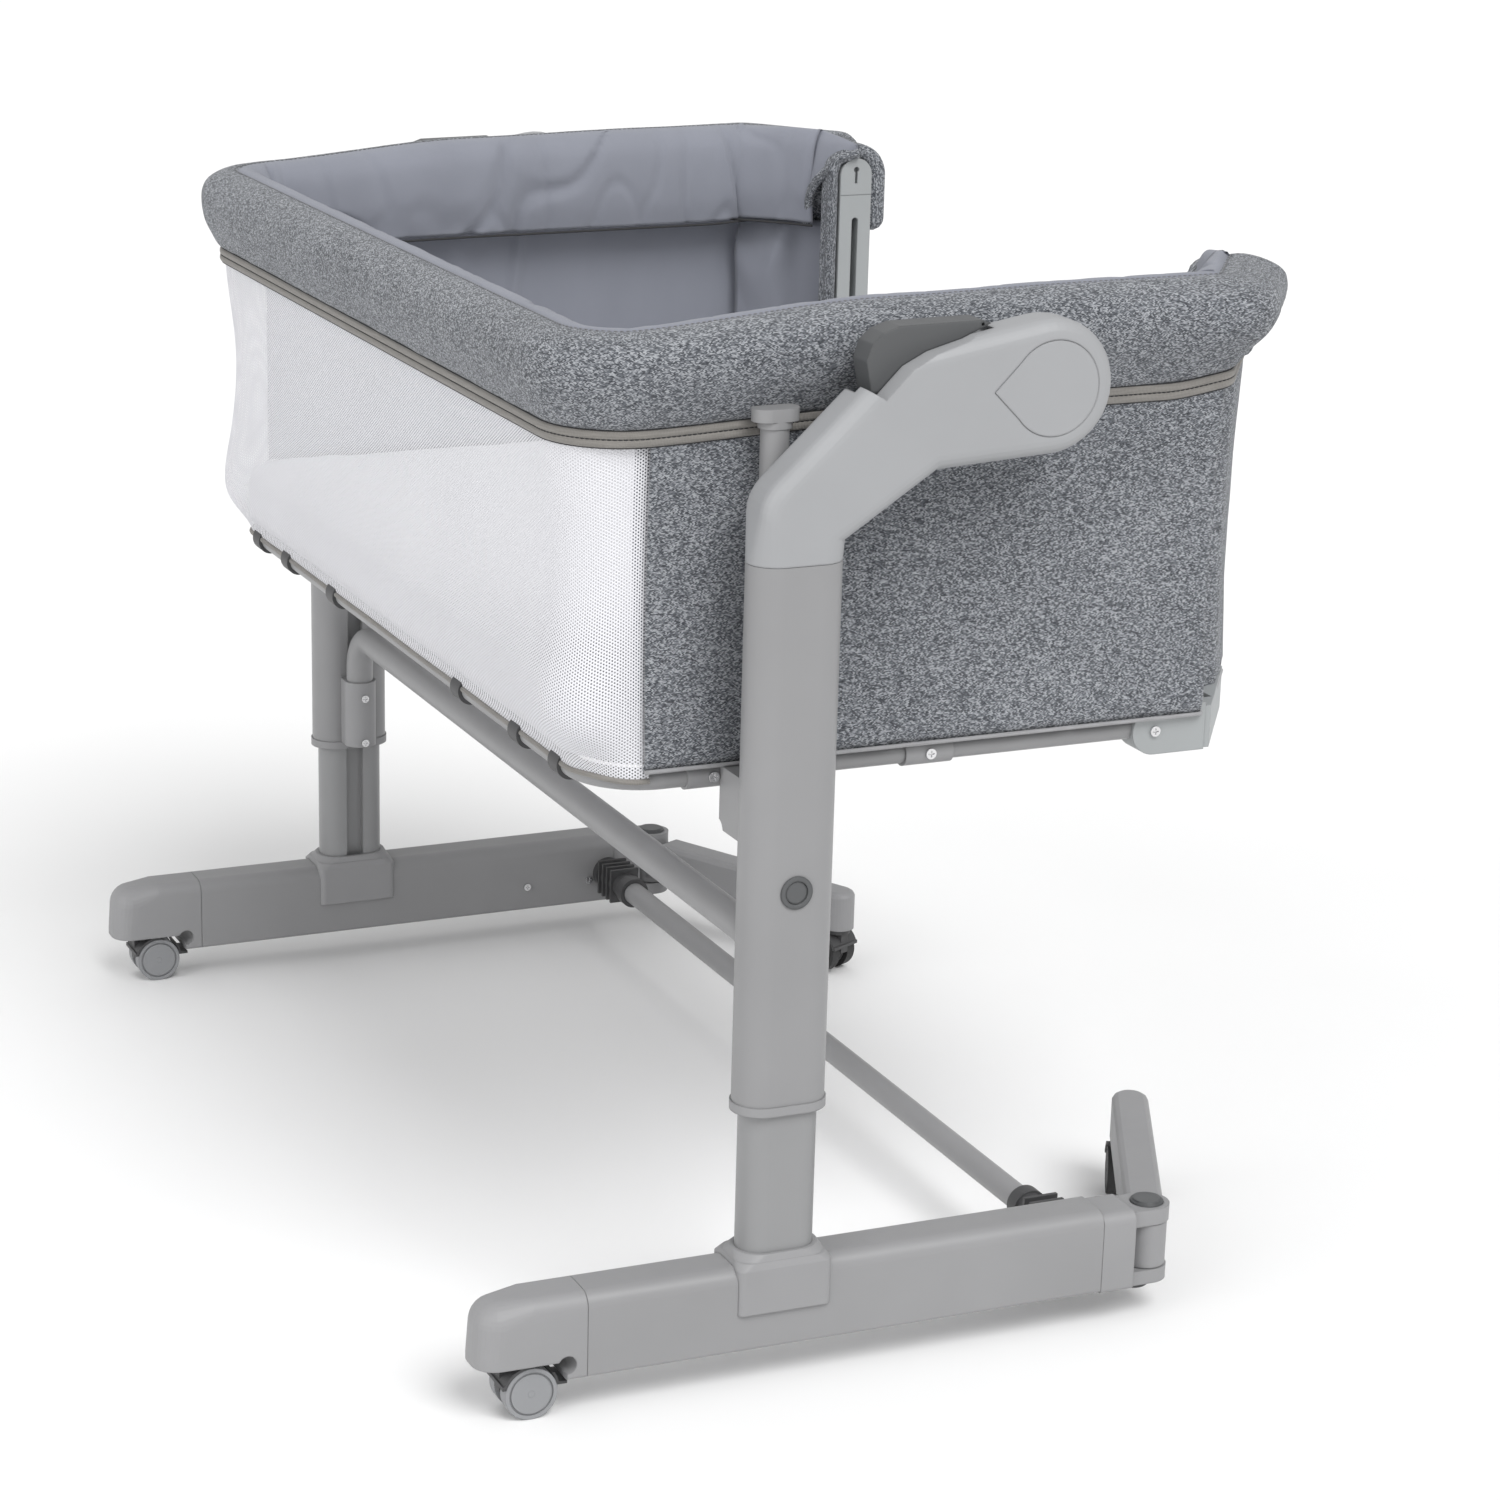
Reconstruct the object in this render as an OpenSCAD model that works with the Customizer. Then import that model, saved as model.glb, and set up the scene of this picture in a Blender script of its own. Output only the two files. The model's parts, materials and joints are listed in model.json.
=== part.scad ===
// Bedside bassinet on a two-legged stand: padded fabric basket with a lowering side,
// height-adjusting posts, folding stabilizer legs and four casters. Millimetres, +Z up,
// origin on the floor at the middle of the whole part's outline.
// -X is the outer mesh side, +X the bed side; "right" pieces sit at -Y and "left" pieces at +Y.

/* [Stand] */
// distance between the outer faces of the two foot beams
stand_length = 995; // [985:5:1010]
// width of a foot beam across
beam_width = 43; // [42:0.5:45]
// height of the underside of a foot beam above the floor
beam_bottom = 28; // [27:0.5:30]
// height of the top of a foot beam above the floor
beam_top = 92; // [90:1:94]
// where the beam meets its outer end cap
beam_outer_x = -151; // [-156:1:-148]
// where the beam meets its bed-side hinge block
beam_inner_x = 259; // [257:1:262]
// length of the outer end cap
cap_length = 81; // [78:1:90]

/* [Posts] */
// overall width of an outer post tube
post_width = 68.6; // [67.5:0.1:70]
// overall depth of an outer post tube
post_depth = 40.4; // [40:0.1:41]
// height of the lower end of an outer post tube
post_bottom = 209; // [208:1:215]
// height of the joint between post tube and arm
post_top = 602; // [598:1:606]
// wall of the post tube
post_wall = 2.2; // [2:0.1:2.4]
// width of an inner post tube
inner_width = 58; // [56:0.5:59]
// top end of the inner tube, hidden inside the outer tube
inner_top = 465; // [440:5:470]

/* [Arms] */
// thickness of an arm across the stand
arm_depth = 41; // [40:0.2:41.4]
// radius of the round end of an arm
arm_end_r = 47; // [45:0.5:48]

/* [Crossbars] */
// diameter of the upper crossbar
upper_bar_d = 24; // [22:0.5:25]
// height of the upper crossbar
upper_bar_z = 318; // [310:1:326]
// diameter of the lower crossbar
lower_bar_d = 20; // [18:0.5:22]
// height of the lower crossbar
lower_bar_z = 57; // [54:1:59]

/* [Casters] */
// radius of the caster wheels
wheel_r = 19.6; // [19:0.1:20]
// width of one caster wheel
wheel_w = 10.5; // [9:0.5:11]

/* [Stabilizer legs] */
// distance from hinge axis to the caster at the tip
stab_length = 230; // [215:1:236]
// width of a stabilizer leg
stab_width = 29; // [27:0.5:30]
// angle of the folded leg away from the line of the lower crossbar
stab_angle = 26.7; // [22:0.1:35]

/* [Basket] */
// outer half length of the fabric basket
basket_half_y = 425.5; // [424:0.5:426]
// outer face of the mesh side
mesh_x = -142; // [-143:0.5:-139]
// lower hem of the fabric walls
hem_z = 447; // [445:0.5:449]
// lower edge of the trim tape under the padded rim
tape_z = 681; // [678:0.5:683]
// top of the padded rim
rim_top = 766; // [762:1:770]
// thickness of the padded rim on the end walls
rim_thick = 56; // [50:1:57]
// height of the top of the mattress
mattress_top = 495.5; // [490:0.5:498]
// size of the mattress across the basket
mattress_width = 500; // [495:1:503]
// diameter of the basket base tube
frame_tube_d = 16; // [15:0.5:16.5]
// height of the basket base tube
frame_tube_z = 436; // [435:0.5:436.5]

/* [Lowering side] */
// width of a slotted guide post
guide_width = 30; // [28:0.5:32]
// height of the rounded top of a guide post
guide_top = 749; // [744:1:750]
// width of the slot the side rail rides in
slot_width = 6; // [5.8:0.1:7]

/* [Hidden] */
e = 0.02;
leg_y = (stand_length - beam_width) / 2;
hinge_x = beam_inner_x + 47;
cap_x = beam_outer_x - cap_length;
cast_x = cap_x + 29;
trail = 12;
foot_round = 11;
bar_x = 252;
collar_top = 101;
block_w = 27;
sock_y = 386;
end_in = leg_y - beam_width / 2;
wall = 4.4;
liner = 2.4;
corner_out = 60;
bed_x = 383;
bed_r = 36;
rim_bottom = tape_z + 12.7;
rim_r = rim_thick / 2;
rim_mid_y = 424;
rim_mid_x = -129;
guide_x = 415;
guide_y0 = 299;
guide_d = 26;
frame_x = -114;
frame_y = 411;
frame_r = 48;
frame_bed_x = 391;
bracket_x = 320;
bracket_end = 362;
tube_end_y = 362;
strut_y = 441.5;
strut_x = 3;
arm_c1 = [1, post_top + 32.5];
arm_c2 = [85, post_top + 98];
arm_c3 = [182, post_top + 109];
pin_z = 478;
clamp_z = 213.2;
window_z = 371;
// middle of the whole part between the cap ends and the rim
centre_x = (cap_x + guide_x + 3 + rim_r) / 2;

// which piece to draw

// ---- helpers ----
// moves a piece from the posts' middle line to the middle of the whole part
module place() { translate([-centre_x, 0, 0]) children(); }
// a piece drawn for the +Y end, copied to the -Y end when s is -1
module end(s) { mirror([0, s < 0 ? 1 : 0, 0]) children(); }
module both_ends() { for (s = [-1, 1]) end(s) children(); }
// flat stadium, long side along x
module stadium(w, d) {
  square([w - d, d], center = true);
  for (k = [-1, 1]) translate([k * (w - d) / 2, 0]) circle(d = d, $fn = 48);
}
// flat rectangle with rounded corners, r1 on the -x side and r2 on the +x side
module slab2(x0, x1, y, r1, r2) {
  translate([x0 + r1, -y]) square([x1 - x0 - r1 - r2, 2 * y]);
  translate([x0, -y + r1]) square([r1 + e, 2 * (y - r1)]);
  translate([x1 - r2 - e, -y + r2]) square([r2 + e, 2 * (y - r2)]);
  for (k = [-1, 1]) {
    translate([x0 + r1, k * (y - r1)]) circle(r = r1, $fn = 48);
    translate([x1 - r2, k * (y - r2)]) circle(r = r2, $fn = 48);
  }
}
// cross-section of a foot beam, y across and z up, drawn with its middle at y = 0
module beam_section(w = beam_width, top = beam_top, bottom = beam_bottom, r = foot_round) {
  translate([-w / 2, bottom + 3]) square([w, top - r - bottom - 3]);
  translate([-w / 2 + 3, bottom]) square([w - 6, 4]);
  translate([-w / 2 + r, bottom + 3]) square([w - 2 * r, top - bottom - 3]);
  for (k = [-1, 1]) {
    translate([k * (w / 2 - r), top - r]) circle(r = r, $fn = 48);
    translate([k * (w / 2 - 3), bottom + 3]) circle(r = 3, $fn = 24);
  }
}
// extrude a y-z section along x from x0 to x1
module along_x(x0, x1) {
  translate([x0, 0, 0]) rotate([90, 0, 90]) linear_extrude(x1 - x0) children();
}
// round disc lying in the x-z plane with rounded edges
module pill(r, d, rr = 11) {
  rotate([90, 0, 0]) rotate_extrude($fn = 40) {
    translate([0, -d / 2]) square([r - rr, d]);
    translate([0, -d / 2 + rr]) square([r, d - 2 * rr]);
    for (k = [-1, 1]) translate([r - rr, k * (d / 2 - rr)]) circle(r = rr, $fn = 20);
  }
}
module rod(d, h) { cylinder(d = d, h = h, $fn = 32); }
module rod_y(d, h) { rotate([-90, 0, 0]) cylinder(d = d, h = h, $fn = 32); }
// pan head screw with a cross recess, its head facing -y
module screw(d = 7) {
  difference() {
    union() {
      translate([0, -2, 0]) rod_y(d, 2);
      rod_y(d * 0.45, 6);
    }
    for (a = [0, 90]) rotate([0, a, 0]) translate([-d * 0.3, -2 - e, -0.5]) cube([d * 0.6, 1.1, 1]);
  }
}

// ---- base of the stand ----
module foot_beam() {
  translate([0, leg_y, 0]) difference() {
    along_x(beam_outer_x + 0.3, beam_inner_x - 0.3) beam_section();
    along_x(beam_outer_x - 1, beam_outer_x + 60)
      beam_section(beam_width - 6, beam_top - 3, beam_bottom + 3, 9);
    along_x(beam_inner_x - 30, beam_inner_x + 1)
      beam_section(beam_width - 6, beam_top - 3, beam_bottom + 3, 9);
    translate([0, 0, beam_bottom + 4]) linear_extrude(80) stadium(inner_width, 34);
    translate([0, -leg_y, 0]) at_beam_screws() translate([0, -1, 0]) rod_y(3.3, 9);
  }
}
module end_cap() {
  translate([0, leg_y, 0]) difference() {
    union() {
      hull() {
        along_x(beam_outer_x - 40, beam_outer_x - 0.01) beam_section();
        for (k = [-1, 1]) translate([cap_x + 20, k * (beam_width / 2 - 18), beam_top - 20])
          sphere(r = 18.5, $fn = 32);
        for (k = [-1, 1]) translate([cap_x + 17, k * (beam_width / 2 - 17), beam_bottom + 14])
          rod(34, 6);
      }
      along_x(beam_outer_x - 1, beam_outer_x + 40)
        beam_section(beam_width - 6.4, beam_top - 3.2, beam_bottom + 3.2, 9);
    }
    // raised underside that leaves room for the caster
    translate([cap_x - 1, -beam_width, beam_bottom - 5]) cube([cap_length - 14, 2 * beam_width, 20]);
    translate([cap_x + cap_length - 15, -beam_width / 2 - 1, beam_bottom + 12]) rod_y(14, beam_width + 2);
    translate([cast_x, 0, beam_bottom + 10]) rod(10.1, 30);
  }
}
module hinge_block() {
  translate([0, leg_y, 0]) difference() {
    union() {
      along_x(beam_inner_x, beam_inner_x + block_w)
        beam_section(beam_width, beam_top - 3, beam_bottom - 1, 8);
      along_x(beam_inner_x - 25, beam_inner_x + 1)
        beam_section(beam_width - 6.4, beam_top - 3.2, beam_bottom + 3.2, 9);
      // upper and lower fork plates around the hinge
      for (z = [[74, 12.5], [beam_bottom - 1, 11]]) translate([0, 0, z[0]]) {
        translate([hinge_x, 0, 0]) rod(34, z[1]);
        translate([beam_inner_x + block_w - 1, -17, 0])
          cube([hinge_x - beam_inner_x - block_w + 1, 34, z[1]]);
      }
      translate([hinge_x, 0, beam_bottom + 2]) rod(16, 50);
    }
    translate([hinge_x, 0, 79]) rod(25, 10);
    translate([0, -leg_y, 0]) at_beam_screws() translate([0, -1, 0]) rod_y(3.3, 9);
  }
}
module crossbar_socket() {
  translate([bar_x, sock_y, lower_bar_z]) difference() {
    union() {
      rod_y(lower_bar_d + 8, 12);
      translate([0, 12, 0]) rod_y(lower_bar_d + 4, end_in - sock_y - 14);
      translate([0, end_in - sock_y - 8, 0]) rod_y(29, 8);
      for (k = [0:3]) translate([-14, end_in - sock_y - 14 - 10 * k, -16]) cube([28, 3, 32]);
    }
    translate([0, -1, 0]) rod_y(lower_bar_d, end_in - sock_y - 4);
  }
}
module lower_crossbar() {
  translate([bar_x, -end_in + 6, lower_bar_z]) rod_y(lower_bar_d, 2 * end_in - 12);
}
module glide_pad() {
  translate([hinge_x - 10, leg_y, beam_bottom - 5]) rod(26, 4);
}
module leg_collar() {
  translate([0, leg_y, 0]) difference() {
    union() {
      hull() {
        translate([0, 0, 57]) linear_extrude(34) slab2(-37, 37, beam_width / 2 + 3, 6, 6);
        translate([0, 0, 95]) linear_extrude(1) slab2(-35, 35, beam_width / 2 + 1, 12, 12);
      }
      hull() {
        translate([0, 0, 95]) linear_extrude(1) slab2(-34.8, 34.8, beam_width / 2 + 0.5, 14, 14);
        translate([0, 0, collar_top - 3]) linear_extrude(3) stadium(inner_width + 7, 40.5);
      }
    }
    along_x(-80, 80) beam_section();
    translate([0, 0, 50]) linear_extrude(80) stadium(inner_width, 34);
  }
}
module inner_tube() {
  translate([0, leg_y, beam_bottom + 4]) linear_extrude(inner_top - beam_bottom - 4) difference() {
    stadium(inner_width, 34);
    stadium(inner_width - 5, 29);
    translate([-8, -18]) square([16, 8]);
  }
  // folded channel on the inner face
  translate([0, leg_y, beam_bottom + 4]) linear_extrude(inner_top - beam_bottom - 4) {
    for (k = [-1, 1]) translate([k * 9.2 - 1.2, -17]) square([2.4, 9]);
    translate([-10.4, -10.2]) square([20.8, 2.2]);
  }
}
module at_beam_screws() {
  for (x = [170, 233]) translate([x, end_in, 51]) children();
}
module beam_screw_set() { at_beam_screws() screw(7); }

// ---- rising frame ----
module outer_tube() {
  translate([0, leg_y, post_bottom]) linear_extrude(post_top - post_bottom - 0.3) difference() {
    stadium(post_width, post_depth);
    stadium(post_width - 2 * post_wall, post_depth - 2 * post_wall);
    translate([-7, -post_depth]) square([14, post_depth - 5]);
  }
}
module tube_bushing() {
  translate([0, leg_y, 0]) difference() {
    union() {
      translate([0, 0, post_bottom - 3]) linear_extrude(3) stadium(post_width + 2.4, post_depth + 2.4);
      translate([0, 0, post_bottom - 0.1]) linear_extrude(4) difference() {
        stadium(post_width + 2.4, post_depth + 2.4);
        stadium(post_width, post_depth);
      }
      translate([0, 0, post_bottom - 1]) linear_extrude(40)
        stadium(post_width - 2 * post_wall - 0.1, post_depth - 2 * post_wall - 0.1);
    }
    translate([0, 0, post_bottom - 9]) linear_extrude(60) stadium(inner_width + 0.1, 34.1);
    translate([-7, -post_depth, post_bottom - 9]) cube([14, post_depth - 10, 60]);
  }
}
module level_window() {
  translate([0, leg_y + post_depth / 2, window_z]) difference() {
    rod_y(24, 1.2);
    translate([0, 0.4, 0]) rod_y(17, 3);
  }
}
module upper_crossbar() {
  r = 34;
  bar_end = leg_y - post_depth / 2 - upper_bar_d / 2 - 0.2;
  translate([0, -bar_end + r, upper_bar_z]) rod_y(upper_bar_d, 2 * (bar_end - r));
  for (s = [-1, 1]) end(s) {
    translate([0, bar_end - r, upper_bar_z - r]) rotate([90, 0, 90])
      rotate_extrude(angle = 90, $fn = 64) translate([r, 0]) circle(d = upper_bar_d, $fn = 32);
    difference() {
      translate([0, bar_end, clamp_z]) rod(upper_bar_d, upper_bar_z - r - clamp_z);
      at_clamp_screws() translate([0, -1, 0]) rod_y(3.3, 9);
    }
  }
}
module crossbar_clamp() {
  y0 = leg_y - post_depth / 2;
  difference() {
    translate([0, y0, clamp_z]) clamp_shell();
    at_clamp_screws() translate([0, -1, 0]) rod_y(3.3, 9);
  }
}
module clamp_shell() {
  h = 61;
  difference() {
    translate([-14, -8, 0]) cube([28, 8 - 0.05, h]);
    translate([0, -upper_bar_d / 2 - 0.2, -1]) rod(upper_bar_d, 80);
  }
  translate([0, -7, 0]) linear_extrude(h) difference() {
    translate([0, -upper_bar_d / 2 + 6.8]) circle(d = upper_bar_d + 5, $fn = 48);
    translate([0, -upper_bar_d / 2 + 6.8]) circle(d = upper_bar_d, $fn = 32);
    translate([-20, 0]) square([40, 20]);
  }
}
module at_clamp_screws() {
  y0 = leg_y - post_depth / 2 - upper_bar_d - 2.8;
  for (z = [218, 260]) translate([0, y0, z]) children();
}
module clamp_screw_set() {
  at_clamp_screws() screw(7);
}
module arm_ridge(drop) {
  // outline above the line where the handle lies, in x and z
  polygon([[36, 150], [40, 118 - drop], [55, 109 - drop], [74, 128 - drop], [92, 137 - drop],
    [118, 144 - drop], [142, 154 - drop], [142, 175], [36, 175]]);
}
module arm() {
  difference() {
    translate([0, leg_y, 0]) union() {
      hull() {
        translate([0, 0, post_top]) linear_extrude(1) stadium(post_width, post_depth);
        translate([arm_c1[0], 0, arm_c1[1]]) pill(32.2, arm_depth);
      }
      hull() {
        translate([arm_c1[0], 0, arm_c1[1]]) pill(32.2, arm_depth);
        translate([arm_c2[0], 0, arm_c2[1]]) pill(41.5, arm_depth);
      }
      hull() {
        translate([arm_c2[0], 0, arm_c2[1]]) pill(41.5, arm_depth);
        translate([arm_c3[0], 0, arm_c3[1]]) pill(arm_end_r, arm_depth);
      }
      translate([0, 0, post_top - 25]) linear_extrude(26)
        stadium(post_width - 2 * post_wall - 0.1, post_depth - 2 * post_wall - 0.1);
    }
    translate([0, leg_y + 40, post_top]) rotate([90, 0, 0]) linear_extrude(80) arm_ridge(0);
    translate([0, leg_y + 3, post_top]) rotate([90, 0, 0]) linear_extrude(80) arm_ridge(9);
    // seat of the end cover
    translate([arm_c3[0], leg_y + arm_depth / 2 - 1.5, arm_c3[1]]) rotate([-90, 0, 0])
      linear_extrude(5) cover2(0.25);
  }
}
module cover2(g) {
  circle(r = 33 + g, $fn = 64);
  rotate(180) polygon([[46 + 1.4 * g, 0], [20, 26.3 + g], [20, -26.3 - g]]);
}
module arm_cover() {
  translate([arm_c3[0], leg_y + arm_depth / 2 - 1.5, arm_c3[1]]) rotate([-90, 0, 0])
    linear_extrude(1.9) cover2(0);
}
module arm_handle() {
  translate([0, leg_y + 2.6, post_top]) rotate([90, 0, 0]) linear_extrude(21.6) difference() {
    polygon([[52, 111], [48, 132], [52, 144], [60, 151], [72, 155], [134, 155.5], [140, 153],
      [118, 143.5], [92, 136.5], [74, 127.5], [57, 111]]);
    // pivot hole
    translate([134, 152.6]) circle(d = 2.4, $fn = 24);
  }
}
module strut() {
  y1 = leg_y - post_depth / 2 - 0.1;
  translate([strut_x - 4, strut_y, 0]) {
    translate([0, 0, 440]) rod(20, 250);
    translate([0, 0, 686]) linear_extrude(5) stadium(24, 21);
    translate([0, 0, 691]) linear_extrude(9) stadium(34, 21);
  }
  // bracket below the basket, bolted to the post
  difference() {
    translate([-26, frame_y + 10, 398]) cube([56, y1 - frame_y - 10, 46]);
    translate([-31, frame_y + 8, 396]) rotate([0, 90, 0]) rod(18, 62);
  }
}

// ---- basket base ----
module base_loop() {
  d = frame_tube_d;
  for (s = [-1, 1]) end(s) {
    difference() {
      translate([frame_x + frame_r, frame_y, frame_tube_z]) rotate([0, 90, 0])
        rod(d, bracket_end - 2 - frame_x - frame_r);
      at_frame_screws() translate([0, -1, 0]) rod_y(3.8, 9);
    }
    translate([frame_x + frame_r, frame_y - frame_r, frame_tube_z]) rotate(90)
      rotate_extrude(angle = 90, $fn = 64) translate([frame_r, 0]) circle(d = d, $fn = 32);
  }
  translate([frame_x, -frame_y + frame_r, frame_tube_z]) rod_y(d, 2 * (frame_y - frame_r));
  translate([frame_bed_x, -tube_end_y, frame_tube_z]) rod_y(d, 2 * tube_end_y);
}
module connector_set() {
  difference() {
    for (x = [-31, 138]) translate([x - 19, frame_y, frame_tube_z]) rotate([0, 90, 0]) difference() {
      rod(frame_tube_d + 4, 38);
      translate([0, 0, -1]) rod(frame_tube_d, 40);
    }
    at_frame_screws() translate([0, -1, 0]) rod_y(3.8, 9);
  }
}
module clip_set() {
  for (y = [150, 272, 352]) translate([frame_x, y - 9, frame_tube_z]) difference() {
    rod_y(frame_tube_d + 6, 18);
    translate([0, -1, 0]) rod_y(frame_tube_d, 20);
    translate([0, -1, 2]) cube([20, 20, 20]);
  }
}
module corner_bracket() {
  y_in = frame_y - 11;
  foot_end = guide_y0 + guide_d + 6;
  difference() {
    union() {
      translate([bracket_x, y_in, 417]) cube([bracket_end - bracket_x, 22, 36]);
      translate([bracket_x, y_in, 435]) rod_y(36, 22);
      // slanted foot that carries the guide post
      translate([0, 0, 418]) linear_extrude(32)
        polygon([[340, y_in + 1], [379, y_in + 1], [379, guide_y0 + 4], [430, guide_y0 + 4],
          [430, foot_end], [bracket_end + 5, frame_y + 10], [340, frame_y + 10]]);
    }
    translate([280, frame_y, frame_tube_z]) rotate([0, 90, 0]) rod(frame_tube_d, bracket_end - 2 - 280);
    translate([frame_bed_x, 260, frame_tube_z]) rod_y(frame_tube_d, tube_end_y - 260);
    translate([guide_x - guide_width / 2, guide_y0, 430]) cube([guide_width + 1, guide_d, 60]);
    at_frame_screws() translate([0, -1, 0]) rod_y(3.8, 9);
  }
}
module at_frame_screws() {
  for (p = [[-31, 10], [138, 10], [bracket_x, 11]])
    mirror([0, 1, 0]) translate([p[0], -frame_y - p[1], p[0] > 300 ? 435 : frame_tube_z]) children();
}
module frame_screw_set() { at_frame_screws() screw(8); }
module guide_post() {
  translate([guide_x, guide_y0, 0]) difference() {
    union() {
      translate([-guide_width / 2, 0, 430]) cube([guide_width, guide_d, guide_top - 430 - guide_width / 2]);
      translate([0, 0, guide_top - guide_width / 2]) rod_y(guide_width, guide_d);
    }
    // slot the rail pin rides in
    translate([-slot_width / 2, -1, 476]) cube([slot_width, 16, 218]);
    for (z = [476, 694]) translate([0, -1, z]) rod_y(slot_width, 16);
    // keyhole and parting line near the top
    translate([0, -1, 739]) rod_y(5, 6);
    translate([-1.2, -1, 727]) cube([2.4, 5, 12]);
    translate([-20, -1, 716.5]) cube([40, 1.5, 0.6]);
  }
}
module mattress_board() {
  translate([0, 0, frame_tube_z + 6.8]) linear_extrude(4.6) slab2(frame_x + 10, 378, 400, 40, 8);
}
module mattress() {
  x0 = mesh_x + wall + 5.5;
  z0 = frame_tube_z + 11.5;
  difference() {
    translate([0, 0, z0]) linear_extrude(mattress_top - z0) slab2(x0, x0 + mattress_width, 415, 55, 40);
    // corners notched over the corner brackets
    for (s = [-1, 1]) end(s) translate([298, 398, z0 - 1]) cube([110, 30, 454 - z0]);
  }
}

// ---- fabric ----
module wall2(out, thick) {
  difference() {
    slab2(mesh_x - out, bed_x + out, basket_half_y + out, corner_out + out, bed_r + out);
    slab2(mesh_x - out + thick, bed_x + out - thick, basket_half_y + out - thick,
      corner_out + out - thick, bed_r + out - thick);
  }
}
module end_panel() {
  difference() {
    translate([0, 0, hem_z]) linear_extrude(rim_bottom + 6 - hem_z) intersection() {
      wall2(0, wall);
      translate([-85, guide_y0 + guide_d + 2]) square([600, 200]);
    }
    // cleared around the corner bracket
    translate([299, guide_y0, 400]) cube([131, 160, 54]);
  }
}
module mesh_side_panel() {
  translate([0, 0, hem_z]) linear_extrude(rim_bottom + 6 - hem_z) intersection() {
    wall2(0, wall);
    translate([-300, -500]) square([300 - 85.3, 1000]);
  }
}
module end_liner() {
  translate([0, 0, mattress_top + 1]) linear_extrude(rim_bottom - mattress_top + 19) intersection() {
    wall2(-wall - 0.3, liner);
    translate([-85, guide_y0 + guide_d + 4]) square([478, 200]);
  }
}
module rim2() {
  h = rim_top - rim_bottom;
  translate([-rim_r, rim_r]) square([rim_thick, h - rim_thick]);
  for (z = [rim_r, h - rim_r]) translate([0, z]) circle(r = rim_r, $fn = 40);
}
module padded_rim() {
  yc = rim_mid_y;
  r = 58;
  rb = 40;
  xb = guide_x + 3;
  difference() {
    translate([0, 0, rim_bottom]) union() {
      translate([rim_mid_x, yc - r, 0]) rotate([90, 0, 0]) linear_extrude(2 * (yc - r)) rim2();
      for (s = [-1, 1]) end(s) {
        translate([rim_mid_x + r, yc - r, 0]) rotate(90) rotate_extrude(angle = 90, $fn = 64)
          translate([r, 0]) rim2();
        translate([rim_mid_x + r, yc, 0]) rotate([90, 0, 90])
          linear_extrude(xb - rb - rim_mid_x - r) rim2();
        translate([xb - rb, yc - rb, 0]) rotate_extrude(angle = 90, $fn = 64) translate([rb, 0]) rim2();
        translate([xb, yc - rb, 0]) rotate([90, 0, 0]) linear_extrude(yc - rb - guide_y0 - 8) rim2();
      }
    }
    for (s = [-1, 1]) end(s) {
      // pocket over the guide post, space for wall tops and the strut
      translate([guide_x - guide_width / 2 - 1, guide_y0 - 5, rim_bottom - 5])
        cube([guide_width + 2, guide_d + 6, guide_top - rim_bottom + 6]);
      translate([strut_x - 4 - 18, strut_y - 11.2, rim_bottom - 5]) cube([36, 30, 12]);
      translate([0, leg_y, rim_bottom - 1]) linear_extrude(100) slab2(-40, 240, arm_depth / 2 + 0.3, 3, 3);
    }
    translate([0, 0, rim_bottom - 1]) linear_extrude(7.4) wall2(0.3, wall + liner + 1.2);
    translate([0, 0, rim_bottom - 1]) linear_extrude(21.4) wall2(-wall + 0.1, liner + 1);
  }
}
module trim_tape() {
  translate([0, 0, tape_z]) linear_extrude(12.4) intersection() {
    wall2(3.4, 3.2);
    difference() {
      translate([-300, -500]) square([800, 1000]);
      translate([300, -guide_y0 - guide_d - 3]) square([300, 2 * (guide_y0 + guide_d + 3)]);
    }
  }
}

// ---- lowering side ----
module side_rail() {
  translate([guide_x, -guide_y0 + 1.5, 490]) rotate([-90, 0, 0]) linear_extrude(2 * guide_y0 - 3)
    rotate(90) stadium(34, 22);
  for (s = [-1, 1]) end(s) translate([guide_x, guide_y0 - 6, pin_z]) rod_y(slot_width - 0.1, 18);
}
module side_fabric() {
  for (k = [0:4]) translate([guide_x - 12 + 4.9 * k, -guide_y0 + 3, 446]) cube([4.4, 2 * guide_y0 - 6, 24]);
  translate([guide_x - 12, -guide_y0 + 3, 446]) cube([24, 2 * guide_y0 - 6, 3]);
}

// ---- stabilizer legs, drawn for the +Y end ----
module on_stab() { translate([hinge_x, leg_y, 0]) rotate(-90 + stab_angle) children(); }
module stabilizer_leg() {
  on_stab() difference() {
    union() {
      translate([0, 0, 38.6]) rod(32, 34.8);
      translate([0, -stab_width / 2, 43.2]) cube([26, stab_width, 30.2]);
      // arm of the leg, its top edge eased by layers of falling width
      hull() for (z = [[43.2, 0], [74, 0], [77, 1.6], [78.8, 4.5]]) translate([0, 0, z[0]]) {
        translate([24, -stab_width / 2 + z[1], 0]) cube([2, stab_width - 2 * z[1], 1.2]);
        translate([stab_length, 0, 0]) rod(stab_width - 2 * z[1], 1.2);
      }
    }
    translate([0, 0, 30]) rod(16.1, 60);
    translate([stab_length, 0, 40]) rod(10.1, 33);
  }
}
module release_button() {
  translate([hinge_x, leg_y, 83.6]) {
    rod(24.4, 4.4);
    translate([0, 0, 4.4]) rod(21, 1.4);
  }
}

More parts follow.
